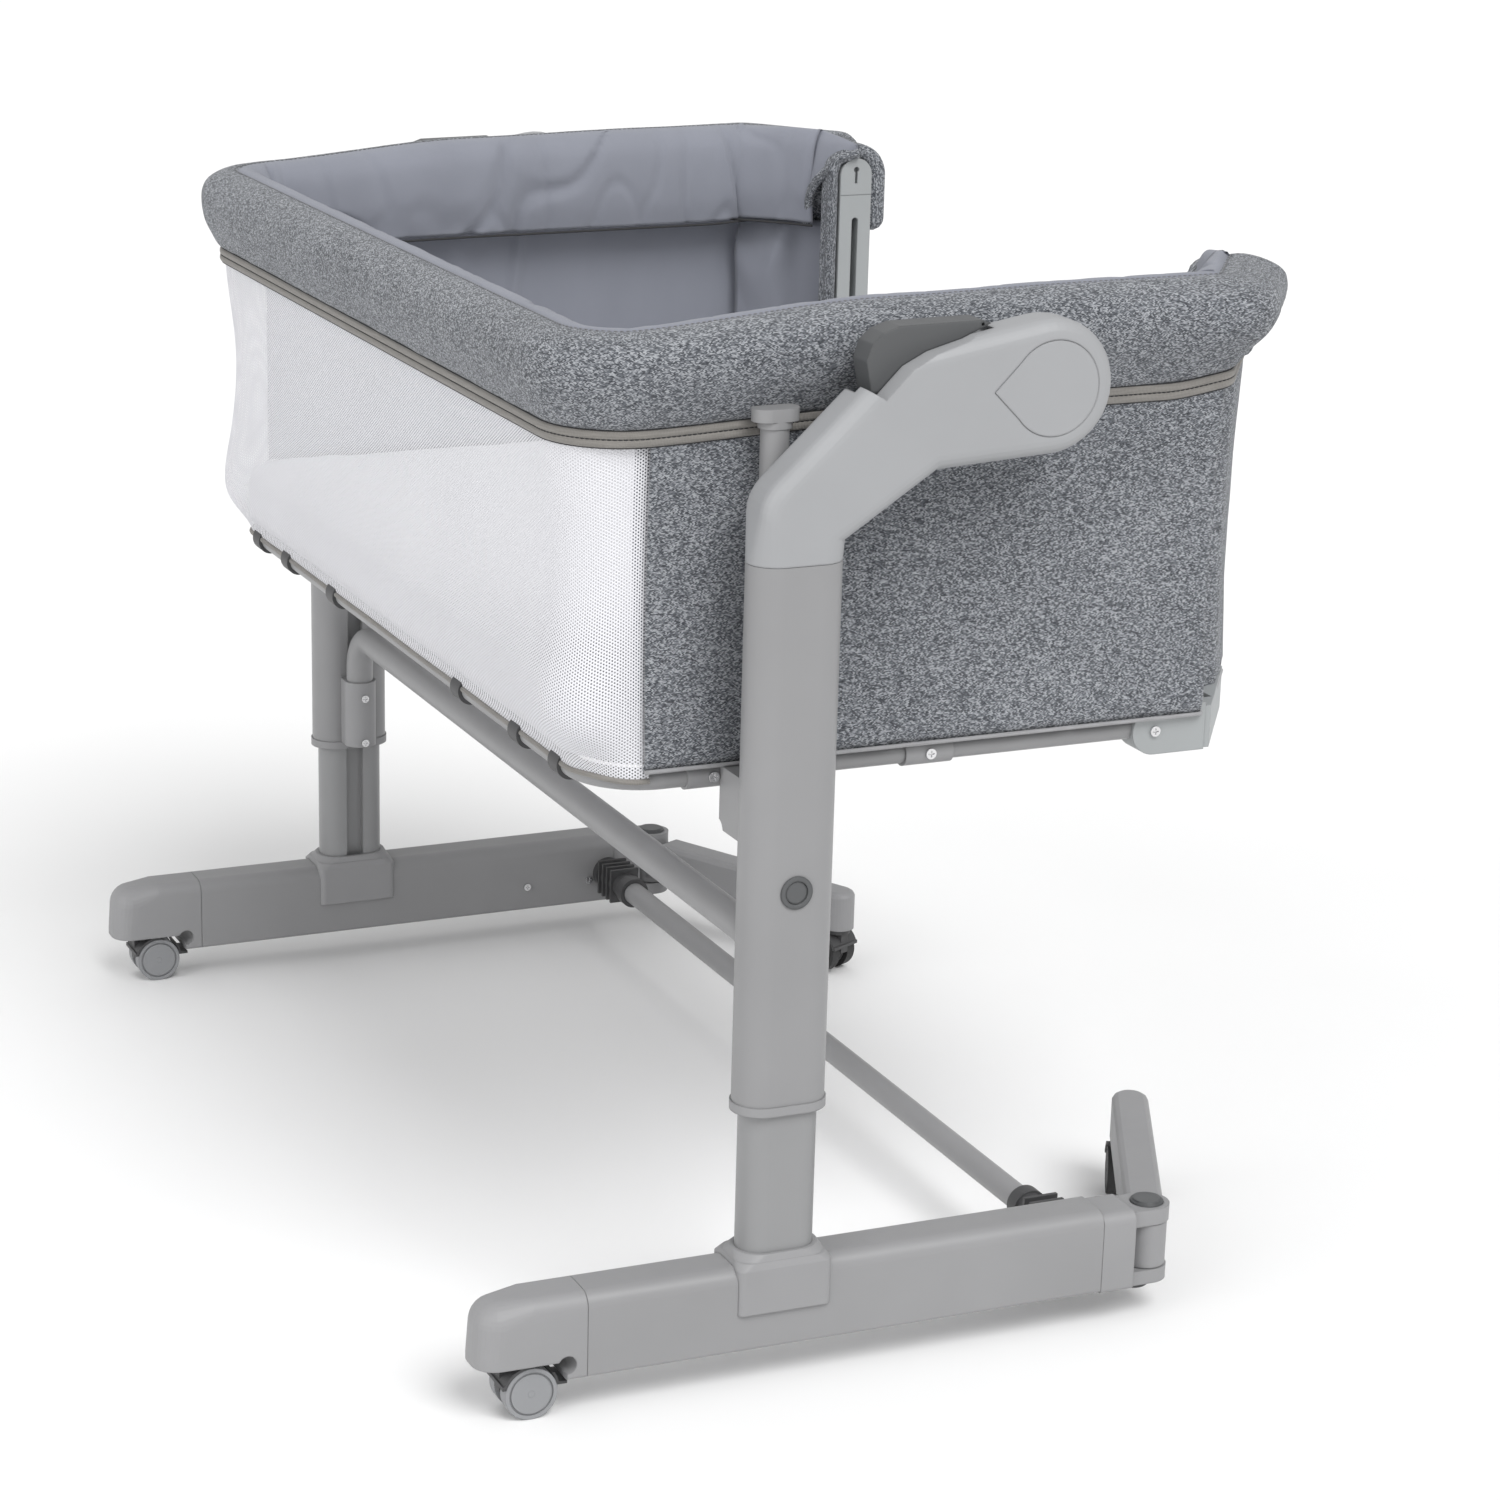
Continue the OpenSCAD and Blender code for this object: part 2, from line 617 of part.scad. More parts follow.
// ---- casters, drawn at a swivel axis on the origin with the wheel trailing toward +x ----
module caster_body() {
  difference() {
    union() {
      translate([0, 0, 30]) rod(10, 38);
      translate([0, 0, 38.4]) rod(22, 4.2);
      translate([trail, -5, wheel_r]) rod_y(31, 10);
      translate([-8, -5, wheel_r]) cube([16, 10, 20]);
      // hood over the wheels
      translate([trail, 17, wheel_r]) rotate([90, 0, 0]) linear_extrude(34) difference() {
        circle(r = wheel_r + 2.8, $fn = 64);
        circle(r = wheel_r + 0.7, $fn = 64);
        translate([-60, -60]) square([120, 66]);
        translate([2, -10]) square([40, 50]);
      }
      translate([trail - 22, -17, wheel_r + 6]) cube([3, 34, 3]);
    }
    translate([trail, -30, wheel_r]) rod_y(5.1, 60);
    difference() {
      translate([trail, -17.5, wheel_r]) rod_y(2 * wheel_r + 1, 35);
      translate([trail - 30, -5.01, wheel_r - 30]) cube([60, 10.02, 80]);
    }
  }
}
module caster_wheels() {
  translate([trail, -16.4, wheel_r]) rod_y(5, 32.8);
  for (k = [0, 1]) mirror([0, k, 0]) translate([trail, 5.7, wheel_r]) difference() {
    rod_y(2 * wheel_r, wheel_w);
    translate([0, wheel_w - 1.2, 0]) rotate([-90, 0, 0]) linear_extrude(3) difference() {
      circle(r = wheel_r - 3, $fn = 48);
      circle(r = wheel_r - 4.4, $fn = 48);
    }
  }
}
module brake_lever() {
  translate([cast_x + trail, leg_y, wheel_r]) difference() {
    union() {
      translate([0, -12, 0]) rotate([90, 0, 0]) translate([0, 0, -24]) linear_extrude(24) difference() {
        circle(r = wheel_r + 3.1, $fn = 64);
        circle(r = wheel_r + 0.8, $fn = 64);
        translate([-60, -60]) square([63, 120]);
        translate([-60, -61]) square([120, 63]);
        translate([-10, 12]) square([60, 60]);
      }
      translate([wheel_r + 1, -12, 2]) cube([8, 24, 2.2]);
    }
  }
}
module outer_at() { translate([cast_x, leg_y, 0]) children(); }
module inner_at() { on_stab() translate([stab_length, 0, 0]) rotate(180) children(); }

color("#8f9092") place() end(-1) foot_beam();  // right_foot_beam
color("#8f9092") place() end(1) foot_beam();  // left_foot_beam
color("#9a9b9d") place() end(-1) end_cap();  // right_end_cap
color("#9a9b9d") place() end(1) end_cap();  // left_end_cap
color("#9a9b9d") place() end(-1) hinge_block();  // right_hinge_block
color("#9a9b9d") place() end(1) hinge_block();  // left_hinge_block
color("#2c2c2e") place() both_ends() crossbar_socket();  // crossbar_sockets
color("#2c2c2e") place() both_ends() glide_pad();  // glide_pads
color("#8f9092") place() lower_crossbar();
color("#9a9b9d") place() end(-1) leg_collar();  // right_leg_collar
color("#9a9b9d") place() end(1) leg_collar();  // left_leg_collar
color("#9c9da0") place() end(-1) inner_tube();  // right_inner_tube
color("#9c9da0") place() end(1) inner_tube();  // left_inner_tube
color("#c9c9cc") place() both_ends() beam_screw_set();  // beam_screws
color("#949597") place() end(-1) outer_tube();  // right_outer_tube
color("#949597") place() end(1) outer_tube();  // left_outer_tube
color("#9a9b9d") place() both_ends() tube_bushing();  // tube_bushings
color("#7c7d80") place() end(-1) level_window();  // right_level_window
color("#7c7d80") place() end(1) level_window();  // left_level_window
color("#8f9092") place() upper_crossbar();
color("#9a9b9d") place() both_ends() crossbar_clamp();  // crossbar_clamps
color("#c9c9cc") place() both_ends() clamp_screw_set();  // clamp_screws
color("#aaabae") place() end(-1) arm();  // right_arm
color("#aaabae") place() end(1) arm();  // left_arm
color("#aaabae") place() both_ends() arm_cover();  // arm_end_covers
color("#5c5e60") place() end(-1) arm_handle();  // right_arm_handle
color("#5c5e60") place() end(1) arm_handle();  // left_arm_handle
color("#949597") place() end(-1) strut();  // right_strut
color("#949597") place() end(1) strut();  // left_strut
color("#8a8b8d") place() base_loop();  // basket_base_frame
color("#808184") place() both_ends() connector_set();  // frame_connectors
color("#6f7073") place() both_ends() clip_set();  // frame_clips
color("#989b9e") place() both_ends() corner_bracket();  // corner_brackets
color("#c9c9cc") place() both_ends() frame_screw_set();  // frame_screws
color("#aeb1b4") place() end(-1) guide_post();  // right_guide_post
color("#aeb1b4") place() end(1) guide_post();  // left_guide_post
color("#d9d9d6") place() mattress_board();
color("#f2f2f2") place() mattress();
color("#7b7d80") place() end(-1) end_panel();  // right_end_panel
color("#7b7d80") place() end(1) end_panel();  // left_end_panel
color("#e8e8ee") place() mesh_side_panel();
color("#9497a0") place() both_ends() end_liner();  // end_liners
color("#7b7d80") place() padded_rim();
color("#8f8b85") place() trim_tape();
color("#8a8b8d") place() side_rail();
color("#7b7d80") place() side_fabric();
color("#8f9092") place() end(-1) stabilizer_leg();  // right_stabilizer_leg
color("#8f9092") place() end(1) stabilizer_leg();  // left_stabilizer_leg
color("#5c5e60") place() end(-1) release_button();  // right_release_button
color("#5c5e60") place() end(1) release_button();  // left_release_button
color("#4a4a4a") place() end(-1) outer_at() caster_body();  // right_outer_caster
color("#4a4a4a") place() end(1) outer_at() caster_body();  // left_outer_caster
color("#2e2e2f") place() end(-1) inner_at() caster_body();  // right_inner_caster
color("#2e2e2f") place() end(1) inner_at() caster_body();  // left_inner_caster
color("#8d8e90") place() end(-1) outer_at() caster_wheels();  // right_outer_wheels
color("#8d8e90") place() end(1) outer_at() caster_wheels();  // left_outer_wheels
color("#1f1f20") place() end(-1) inner_at() caster_wheels();  // right_inner_wheels
color("#1f1f20") place() end(1) inner_at() caster_wheels();  // left_inner_wheels
color("#4a4a4a") place() end(-1) brake_lever();  // right_brake_lever
color("#4a4a4a") place() end(1) brake_lever();  // left_brake_lever
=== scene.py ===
"""Looks of a bedside bassinet on its stand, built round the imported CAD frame. Metres, +Z up."""
import json
import math

import bpy
import numpy as np
from mathutils import Matrix, Vector, noise


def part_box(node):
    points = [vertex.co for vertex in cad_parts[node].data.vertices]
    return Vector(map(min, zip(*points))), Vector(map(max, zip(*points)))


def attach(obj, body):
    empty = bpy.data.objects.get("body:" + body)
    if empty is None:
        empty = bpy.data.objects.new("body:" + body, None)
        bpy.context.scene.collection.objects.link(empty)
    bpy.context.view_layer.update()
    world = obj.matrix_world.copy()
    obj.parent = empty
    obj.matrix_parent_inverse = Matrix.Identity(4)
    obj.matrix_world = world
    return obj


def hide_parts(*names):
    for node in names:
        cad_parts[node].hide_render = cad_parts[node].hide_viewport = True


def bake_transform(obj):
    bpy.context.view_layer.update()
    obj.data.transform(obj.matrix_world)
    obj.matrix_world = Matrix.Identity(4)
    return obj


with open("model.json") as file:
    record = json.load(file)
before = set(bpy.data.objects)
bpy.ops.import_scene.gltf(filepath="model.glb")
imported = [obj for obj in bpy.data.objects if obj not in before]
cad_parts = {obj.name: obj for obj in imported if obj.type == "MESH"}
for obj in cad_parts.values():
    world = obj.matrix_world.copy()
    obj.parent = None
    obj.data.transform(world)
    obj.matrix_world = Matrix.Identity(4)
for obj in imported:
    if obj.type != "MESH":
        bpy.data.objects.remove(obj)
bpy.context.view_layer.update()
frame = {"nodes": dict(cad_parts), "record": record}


# ---------------------------------------------------------------- places, from the frame
def low(node):
    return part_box(node)[0]


def high(node):
    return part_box(node)[1]


STAND_X = (low("right_outer_tube").x + high("right_outer_tube").x) / 2  # middle of the stand's posts
WALL_OUT = low("mesh_side_panel").x  # outer face of the mesh side
WALL_BED = high("right_end_panel").x  # where the plain CAD walls turn at the bed side
WALL_END = high("left_end_panel").y  # outer face of the end walls
WALL_STOP = low("left_end_panel").y  # the walls end here, beside the guide posts
SEAM_X = low("right_end_panel").x  # where the mesh meets the melange
CORNER_OUT = SEAM_X - WALL_OUT  # radius of the outer corners, which turn as far as the seam
CORNER_BED = 0.016  # radius of the bed-side corners
CLOTH_BED = WALL_BED - 0.014  # where the cloth's end walls would meet a square bed side
HEM = low("mesh_side_panel").z  # bottom edge of the walls
TAPE_LOW, TAPE_HIGH = low("trim_tape").z, high("trim_tape").z
TAPE_HEIGHT = TAPE_HIGH - TAPE_LOW
RIM_LOW, RIM_HIGH = TAPE_HIGH, high("padded_rim").z
MATTRESS_LOW, MATTRESS_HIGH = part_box("mattress")
GUIDE_LOW, GUIDE_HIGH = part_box("left_guide_post")
GUIDE_X = (GUIDE_LOW.x + GUIDE_HIGH.x) / 2
GUIDE_HALF = (GUIDE_HIGH.x - GUIDE_LOW.x) / 2
ARCH_Z = GUIDE_HIGH.z - GUIDE_HALF  # the guide posts' round tops start here
SIDES = (("right", -1), ("left", 1))  # the near and the far end, and the sign of their y
RAIL_HIGH = high("side_rail").z
RAIL_LOW = RAIL_HIGH - 0.034  # bottom of the rail's tube, above its pins


# ---------------------------------------------------------------- small maths
def ramp(x, start, end):
    """0 before start and 1 after end, smooth between them."""
    t = min(1.0, max(0.0, (x - start) / (end - start)))
    return t * t * (3 - 2 * t)


def lumps(a, b, seed=0.0):
    """Smooth noise from about -1 to 1."""
    return noise.noise(Vector((a, b, seed)))


def crease(a, b, seed, width):
    """1 along thin wandering lines and 0 elsewhere."""
    return max(0.0, 1.0 - abs(lumps(a, b, seed)) / width)


def smooth_curve(points, count, closed=False):
    """A smooth curve through the points, as count places along it."""
    pts = [np.array(p, float) for p in points]
    n = len(pts)
    spans = n if closed else n - 1
    out = []
    for i in range(count):
        t = i / count * spans if closed else i / (count - 1) * spans
        k = min(int(t), spans - 1)
        f = t - k
        near = (k - 1, k, k + 1, k + 2)
        a, b, c, d = [pts[j % n] if closed else pts[min(n - 1, max(0, j))] for j in near]
        out.append(0.5 * (2 * b + (c - a) * f + (2 * a - 5 * b + 4 * c - d) * f * f
                          + (3 * b - a - 3 * c + d) * f ** 3))
    return out


class Place:
    """A place on the basket's outline: x, y, the outward direction, and the distance along."""

    def __init__(self, x, y, nx, ny, s):
        self.x, self.y, self.nx, self.ny, self.s = x, y, nx, ny, s

    def at(self, out, z):
        return (self.x + self.nx * out, self.y + self.ny * out, z)


def outline(stop=WALL_STOP, step=0.006):
    """Places along the walls' outer face, from the near guide post round the mesh side to the far one.
    Past the bed-side corner the walls slant outwards to meet the guide post's outer face."""
    half = []  # the far half, from the middle of the mesh side to the far guide post
    end = (GUIDE_HIGH.x + 0.001, GUIDE_HIGH.y + 0.002)  # just past the guide post's outer corner

    def straight(x0, y0, x1, y1, nx, ny):
        n = max(1, round(math.hypot(x1 - x0, y1 - y0) / step))
        for i in range(n):
            half.append((x0 + (x1 - x0) * i / n, y0 + (y1 - y0) * i / n, nx, ny))

    def bend(cx, cy, r, start, sweep):
        n = max(6, round(r * sweep / step))
        for i in range(n):
            a = start - sweep * i / n
            half.append((cx + r * math.cos(a), cy + r * math.sin(a), math.cos(a), math.sin(a)))

    straight(WALL_OUT, 0, WALL_OUT, WALL_END - CORNER_OUT, -1, 0)
    bend(WALL_OUT + CORNER_OUT, WALL_END - CORNER_OUT, CORNER_OUT, math.pi, math.pi / 2)
    straight(WALL_OUT + CORNER_OUT, WALL_END, CLOTH_BED - CORNER_BED, WALL_END, 0, 1)
    centre = (CLOTH_BED - CORNER_BED, WALL_END - CORNER_BED)
    # the slanted wall leaves the corner's round where a line from its end touches it
    away = math.hypot(end[0] - centre[0], end[1] - centre[1])
    last = math.atan2(end[1] - centre[1], end[0] - centre[0]) + math.acos(CORNER_BED / away)
    bend(*centre, CORNER_BED, math.pi / 2, math.pi / 2 - last)
    nx, ny = math.cos(last), math.sin(last)
    x0, y0 = centre[0] + CORNER_BED * nx, centre[1] + CORNER_BED * ny
    past = (end[1] - stop) / (y0 - end[1])
    straight(x0, y0, end[0] + (end[0] - x0) * past, stop, nx, ny)
    half.append((end[0] + (end[0] - x0) * past, stop, nx, ny))
    whole = [(x, -y, nx, -ny) for x, y, nx, ny in half[:0:-1]] + half
    places, s = [], 0.0
    for i, (x, y, nx, ny) in enumerate(whole):
        if i:
            s += math.hypot(x - whole[i - 1][0], y - whole[i - 1][1])
        places.append(Place(x, y, nx, ny, s))
    return places


def dip(x):
    """How much the walls' top line sinks towards the mesh side, from 0 to 1."""
    return 1 - ramp(x, STAND_X - 0.115, STAND_X + 0.095)


def tape_shift(x):
    """How far the tape line is above its CAD height: a rise at the bed side, a sink at the mesh side."""
    sink, rise = 0.0065, 0.008
    return rise * ramp(x, WALL_BED - 0.075, WALL_BED) - sink * dip(x)


# ---------------------------------------------------------------- mesh building
def finish_mesh(name, verts, faces, uvs, material, body="basket"):
    """A smooth-shaded piece with its cloth coordinates, riding on the body."""
    mesh = bpy.data.meshes.new(name)
    mesh.from_pydata([tuple(v) for v in verts], [], faces)
    mesh.update()
    layer = mesh.uv_layers.new(name="cloth")
    loop_vertex = np.zeros(len(mesh.loops), np.int32)
    mesh.loops.foreach_get("vertex_index", loop_vertex)
    layer.data.foreach_set("uv", np.array(uvs, np.float32)[loop_vertex].ravel())
    mesh.polygons.foreach_set("use_smooth", [True] * len(mesh.polygons))
    mesh.materials.append(material)
    piece = bpy.data.objects.new(name, mesh)
    bpy.context.scene.collection.objects.link(piece)
    if body:
        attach(piece, body)
    return piece


def grid(name, rows, uvs, material, body="basket", around=False, caps=False):
    """A skin over rows of points. around closes each row into a ring, and caps closes both ends."""
    n, m = len(rows), len(rows[0])
    verts = [p for row in rows for p in row]
    flat_uv = [p for row in uvs for p in row]
    faces = []
    for i in range(n - 1):
        for j in range(m if around else m - 1):
            k = (j + 1) % m
            faces.append((i * m + j, i * m + k, (i + 1) * m + k, (i + 1) * m + j))
    if caps:
        for i, order in ((0, range(m - 1, -1, -1)), (n - 1, range(m))):
            centre = np.mean([np.array(p) for p in rows[i]], axis=0)
            verts.append(tuple(centre))
            flat_uv.append(tuple(np.mean([np.array(p) for p in uvs[i]], axis=0)))
            ring = [i * m + j for j in order]
            faces += [(ring[j], ring[(j + 1) % m], len(verts) - 1) for j in range(m)]
    return finish_mesh(name, verts, faces, flat_uv, material, body)


def apply_modifiers(piece):
    """Makes the piece's mesh the shape that shows."""
    graph = bpy.context.evaluated_depsgraph_get()
    mesh = bpy.data.meshes.new_from_object(piece.evaluated_get(graph))
    piece.modifiers.clear()
    piece.data = mesh


def thicken(piece, depth, against_normals=True):
    """Gives a sheet its thickness."""
    mod = piece.modifiers.new("thickness", "SOLIDIFY")
    mod.thickness = depth
    mod.offset = -1 if against_normals else 1
    mod.use_even_offset = False
    apply_modifiers(piece)


def cord_tube(name, points, radius, material, sides=8):
    """A round piping or thread along the points."""
    pts = [Vector(p) for p in points]
    rows, uvs, s = [], [], 0.0
    for i, p in enumerate(pts):
        ahead = (pts[min(i + 1, len(pts) - 1)] - pts[max(i - 1, 0)]).normalized()
        side = ahead.cross(Vector((0, 0, 1)))
        if side.length < 0.2:
            side = ahead.cross(Vector((0, 1, 0)))
        side.normalize()
        up = side.cross(ahead)
        s += (p - pts[i - 1]).length if i else 0.0
        turn = [2 * math.pi * k / sides for k in range(sides)]
        rows.append([tuple(p + side * radius * math.cos(a) + up * radius * math.sin(a)) for a in turn])
        uvs.append([(s, radius * a) for a in turn])
    return grid(name, rows, uvs, material, around=True, caps=True)


def stitches(name, line, pitch, length, radius, material):
    """A row of short threads along a line of points."""
    pts = [Vector(p) for p in line]
    along = [0.0]
    for a, b in zip(pts, pts[1:]):
        along.append(along[-1] + (b - a).length)

    def point(s):
        k = min(max(int(np.searchsorted(along, s)) - 1, 0), len(pts) - 2)
        f = (s - along[k]) / max(along[k + 1] - along[k], 1e-9)
        return pts[k].lerp(pts[k + 1], f)

    verts, faces, uvs = [], [], []
    ring = ((-1, -1), (1, -1), (1, 1), (-1, 1))
    for i in range(int(along[-1] / pitch)):
        start = (i + 0.5) * pitch - length / 2
        ends = [point(start), point(start + length)]
        ahead = (ends[1] - ends[0]).normalized()
        up = Vector((0, 0, 1))
        side = ahead.cross(up).normalized()
        first = len(verts)
        middle = ends[0].lerp(ends[1], 0.5)
        tip = 0.4  # each thread is thinner where it enters the cloth
        for p, wide in ((ends[0], tip), (middle, 1.0), (ends[1], tip)):
            for a, b in ring:
                verts.append(tuple(p + (side * a + up * b) * radius * wide))
                uvs.append((p.x, p.z))
        for r in (first, first + 4):
            for k in range(4):
                faces.append((r + k, r + (k + 1) % 4, r + 4 + (k + 1) % 4, r + 4 + k))
        faces += [tuple(first + k for k in (3, 2, 1, 0)), tuple(first + 8 + k for k in (0, 1, 2, 3))]
    return finish_mesh(name, verts, faces, uvs, material)


# ---------------------------------------------------------------- materials
class Finish:
    """A material and short ways to add its nodes."""

    def __init__(self, name, roughness=0.5, sheen=0.0, metallic=0.0):
        self.mat = bpy.data.materials.new(name)
        self.mat.use_nodes = True
        self.nodes, self.links = self.mat.node_tree.nodes, self.mat.node_tree.links
        self.shader = self.nodes["Principled BSDF"]
        self.shader.inputs["Roughness"].default_value = roughness
        self.shader.inputs["Metallic"].default_value = metallic
        self.shader.inputs["Sheen Weight"].default_value = sheen
        self.shader.inputs["Sheen Roughness"].default_value = 0.6

    def new(self, kind, **values):
        node = self.nodes.new("ShaderNode" + kind)
        for key, value in values.items():
            setattr(node, key, value)
        return node

    def feed(self, socket, value):
        if isinstance(value, bpy.types.NodeSocket):
            self.links.new(value, socket)
        else:
            socket.default_value = value

    def math(self, operation, *values):
        node = self.new("Math", operation=operation)
        for socket, value in zip(node.inputs, values):
            self.feed(socket, value)
        return node.outputs[0]

    def objects_place(self):
        return self.new("TexCoord").outputs["Object"]

    def cloth_uv(self):
        return self.new("UVMap", uv_map="cloth").outputs["UV"]

    def cloth_across_along(self):
        """The cloth coordinates as two numbers, in metres of cloth."""
        parts = self.new("SeparateXYZ")
        self.links.new(self.cloth_uv(), parts.inputs[0])
        return parts.outputs["X"], parts.outputs["Y"]

    def cloth_noise(self, across, along, detail):
        """Noise drawn on the cloth, with a scale each way."""
        node = self.new("Mapping")
        self.feed(node.inputs["Vector"], self.cloth_uv())
        node.inputs["Scale"].default_value = (across, along, 1.0)
        return self.noise(node.outputs[0], 1.0, detail)

    def noise(self, vector, scale, detail=2.0):
        node = self.new("TexNoise")
        self.feed(node.inputs["Vector"], vector)
        node.inputs["Scale"].default_value = scale
        node.inputs["Detail"].default_value = detail
        return node.outputs["Fac"]

    def ramp(self, value, *stops):
        node = self.new("ValToRGB")
        while len(node.color_ramp.elements) < len(stops):
            node.color_ramp.elements.new(0.5)
        for element, (place, colour) in zip(node.color_ramp.elements, stops):
            element.position = place
            element.color = (*colour, 1.0)
        self.feed(node.inputs[0], value)
        return node.outputs[0]

    def span(self, value, low_value, high_value):
        node = self.new("MapRange")
        self.feed(node.inputs["Value"], value)
        node.inputs["To Min"].default_value = low_value
        node.inputs["To Max"].default_value = high_value
        return node.outputs[0]

    def colour(self, socket):
        self.links.new(socket, self.shader.inputs["Base Color"])

    def rough(self, socket):
        self.links.new(socket, self.shader.inputs["Roughness"])

    def bump(self, height, depth, rounding=0.0):
        node = self.new("Bump")
        node.inputs["Distance"].default_value = depth
        node.inputs["Strength"].default_value = 1.0
        self.feed(node.inputs["Height"], height)
        if rounding:
            edge = self.new("Bevel", samples=4)
            edge.inputs["Radius"].default_value = rounding
            self.links.new(edge.outputs[0], node.inputs["Normal"])
        self.links.new(node.outputs[0], self.shader.inputs["Normal"])


def tint(colour, factor):
    """The colour, lighter or darker."""
    return tuple(min(1.0, c * factor) for c in colour)


def moulded(name, colour, roughness=0.5, grain=0.00004, grain_scale=900, rounding=0.0008, metallic=0.0):
    """Moulded or painted surfaces: fine grain, slow shifts of tone and gloss, eased edges."""
    f = Finish(name, roughness, metallic=metallic)
    place = f.objects_place()
    slow = f.noise(place, 7, 3)
    f.colour(f.ramp(slow, (0.25, tint(colour, 0.94)), (0.75, tint(colour, 1.05))))
    f.rough(f.span(f.noise(place, 45, 4), roughness - 0.07, roughness + 0.09))
    f.bump(f.noise(place, grain_scale, 2), grain, rounding)
    return f.mat


def melange(name, dark, middle, light, yarn=0.0012, row_height=0.0009):
    """Heathered knit: rows of slanted light and dark stitches, the slant turning over with each row."""
    f = Finish(name, 0.92, sheen=0.15)
    along, climb = f.cloth_across_along()
    across = f.math("DIVIDE", along, yarn)
    up = f.math("DIVIDE", climb, row_height)
    row = f.math("FLOOR", up)
    slanted = f.math("ADD", across, f.math("MULTIPLY", f.math("PINGPONG", up, 1.0), 0.9))
    row_pair = f.math("FLOOR", f.math("DIVIDE", row, 2.0))
    stepped = f.math("ADD", slanted, f.math("MULTIPLY", row_pair, 0.37))
    cell = f.new("CombineXYZ")
    f.links.new(f.math("FLOOR", stepped), cell.inputs[0])
    f.links.new(row, cell.inputs[1])
    speck = f.new("TexWhiteNoise", noise_dimensions="2D")
    f.links.new(cell.outputs[0], speck.inputs["Vector"])
    fibre = f.math("MULTIPLY", f.cloth_noise(150, 900, 2), 0.28)
    shade = f.math("MULTIPLY", f.math("SUBTRACT", f.cloth_noise(6, 6, 2), 0.5), 0.14)
    tone = f.math("ADD", f.math("MULTIPLY", speck.outputs["Value"], 0.72), fibre)
    tone = f.math("ADD", tone, shade)
    f.colour(f.ramp(tone, (0.14, dark), (0.50, middle), (0.84, light)))
    wave_u = f.math("SINE", f.math("MULTIPLY", f.math("FRACT", stepped), math.pi))
    wave_v = f.math("SINE", f.math("MULTIPLY", f.math("FRACT", up), math.pi))
    f.bump(f.math("MULTIPLY", wave_u, wave_v), 0.00022)
    return f.mat


def plain_cloth(name, colour, thread=0.0005, sheen=0.15, wrinkle=0.0006, variation=0.05):
    """Smooth woven cloth with a fine thread and faint creases."""
    f = Finish(name, 0.85, sheen=sheen)
    along, climb = f.cloth_across_along()
    u = f.math("SINE", f.math("MULTIPLY", along, 2 * math.pi / thread))
    v = f.math("SINE", f.math("MULTIPLY", climb, 2 * math.pi / thread))
    threads = f.math("MULTIPLY", f.math("MULTIPLY", u, v), 0.06)
    f.colour(f.ramp(f.cloth_noise(14, 5, 5),
                    (0.3, tint(colour, 1 - variation)), (0.7, tint(colour, 1 + variation))))
    f.bump(f.math("ADD", threads, f.cloth_noise(26, 9, 4)), wrinkle)
    return f.mat


def open_mesh(name, colour, pitch=0.0021, hole=1.05):
    """Knitted mesh: rows of round holes in a soft white thread."""
    f = Finish(name, 0.75, sheen=0.1)
    along, climb = f.cloth_across_along()
    turn = 2 * math.pi / pitch
    waves = []
    for k in range(3):
        a = math.radians(60 * k)
        line = f.math("ADD", f.math("MULTIPLY", along, turn * math.cos(a)),
                      f.math("MULTIPLY", climb, turn * math.sin(a)))
        waves.append(f.math("COSINE", line))
    height = f.math("ADD", f.math("ADD", waves[0], waves[1]), waves[2])
    f.links.new(f.math("LESS_THAN", height, hole), f.shader.inputs["Alpha"])
    f.colour(f.ramp(f.cloth_noise(9, 4, 3), (0.3, tint(colour, 0.97)), (0.7, colour)))
    f.bump(f.math("MULTIPLY", height, -1.0), 0.00012)
    return f.mat


def ribbed_tape(name, colour, rib=0.0011):
    """Woven tape with fine ribs across it."""
    f = Finish(name, 0.8, sheen=0.2)
    along, _ = f.cloth_across_along()
    f.colour(f.ramp(f.cloth_noise(60, 900, 3), (0.3, tint(colour, 0.85)), (0.7, tint(colour, 1.12))))
    f.bump(f.math("SINE", f.math("MULTIPLY", along, 2 * math.pi / rib)), 0.00012)
    return f.mat


FRAME_GREY = moulded("painted_tube", (0.262, 0.262, 0.267), 0.42, 0.00002, 1500)
PLASTIC_GREY = moulded("grey_moulding", (0.272, 0.272, 0.278), 0.5, 0.00005, 1100, 0.0015)
ARM_GREY = moulded("arm_moulding", (0.325, 0.33, 0.34), 0.46, 0.00004, 1100, 0.0022)
TUBE_GREY = moulded("inner_tube_paint", (0.262, 0.264, 0.268), 0.38, 0.00002, 1500)
POST_GREY = moulded("post_moulding", (0.325, 0.34, 0.345), 0.5, 0.00004, 1100, 0.0012)
DARK_PLASTIC = moulded("dark_moulding", (0.055, 0.055, 0.057), 0.48, 0.00005, 1200, 0.001)
HANDLE_DARK = moulded("handle_moulding", (0.086, 0.089, 0.092), 0.42, 0.00004, 1200, 0.0025)
CHROME = moulded("bright_screw", (0.72, 0.72, 0.73), 0.22, 0.00003, 700, 0.0005, 1.0)
WHEEL_GREY = moulded("wheel_face", (0.26, 0.265, 0.275), 0.5, 0.00004, 1300, 0.0009)
WHEEL_BLACK = moulded("wheel_black", (0.02, 0.02, 0.021), 0.55, 0.00004, 1300, 0.0009)
BOARD = moulded("board", (0.6, 0.59, 0.57), 0.6, 0.0001, 400)
MELANGE = melange("melange_cloth", (0.026, 0.030, 0.038), (0.128, 0.138, 0.156), (0.39, 0.405, 0.43))
LINER = plain_cloth("liner_poplin", (0.225, 0.236, 0.276))
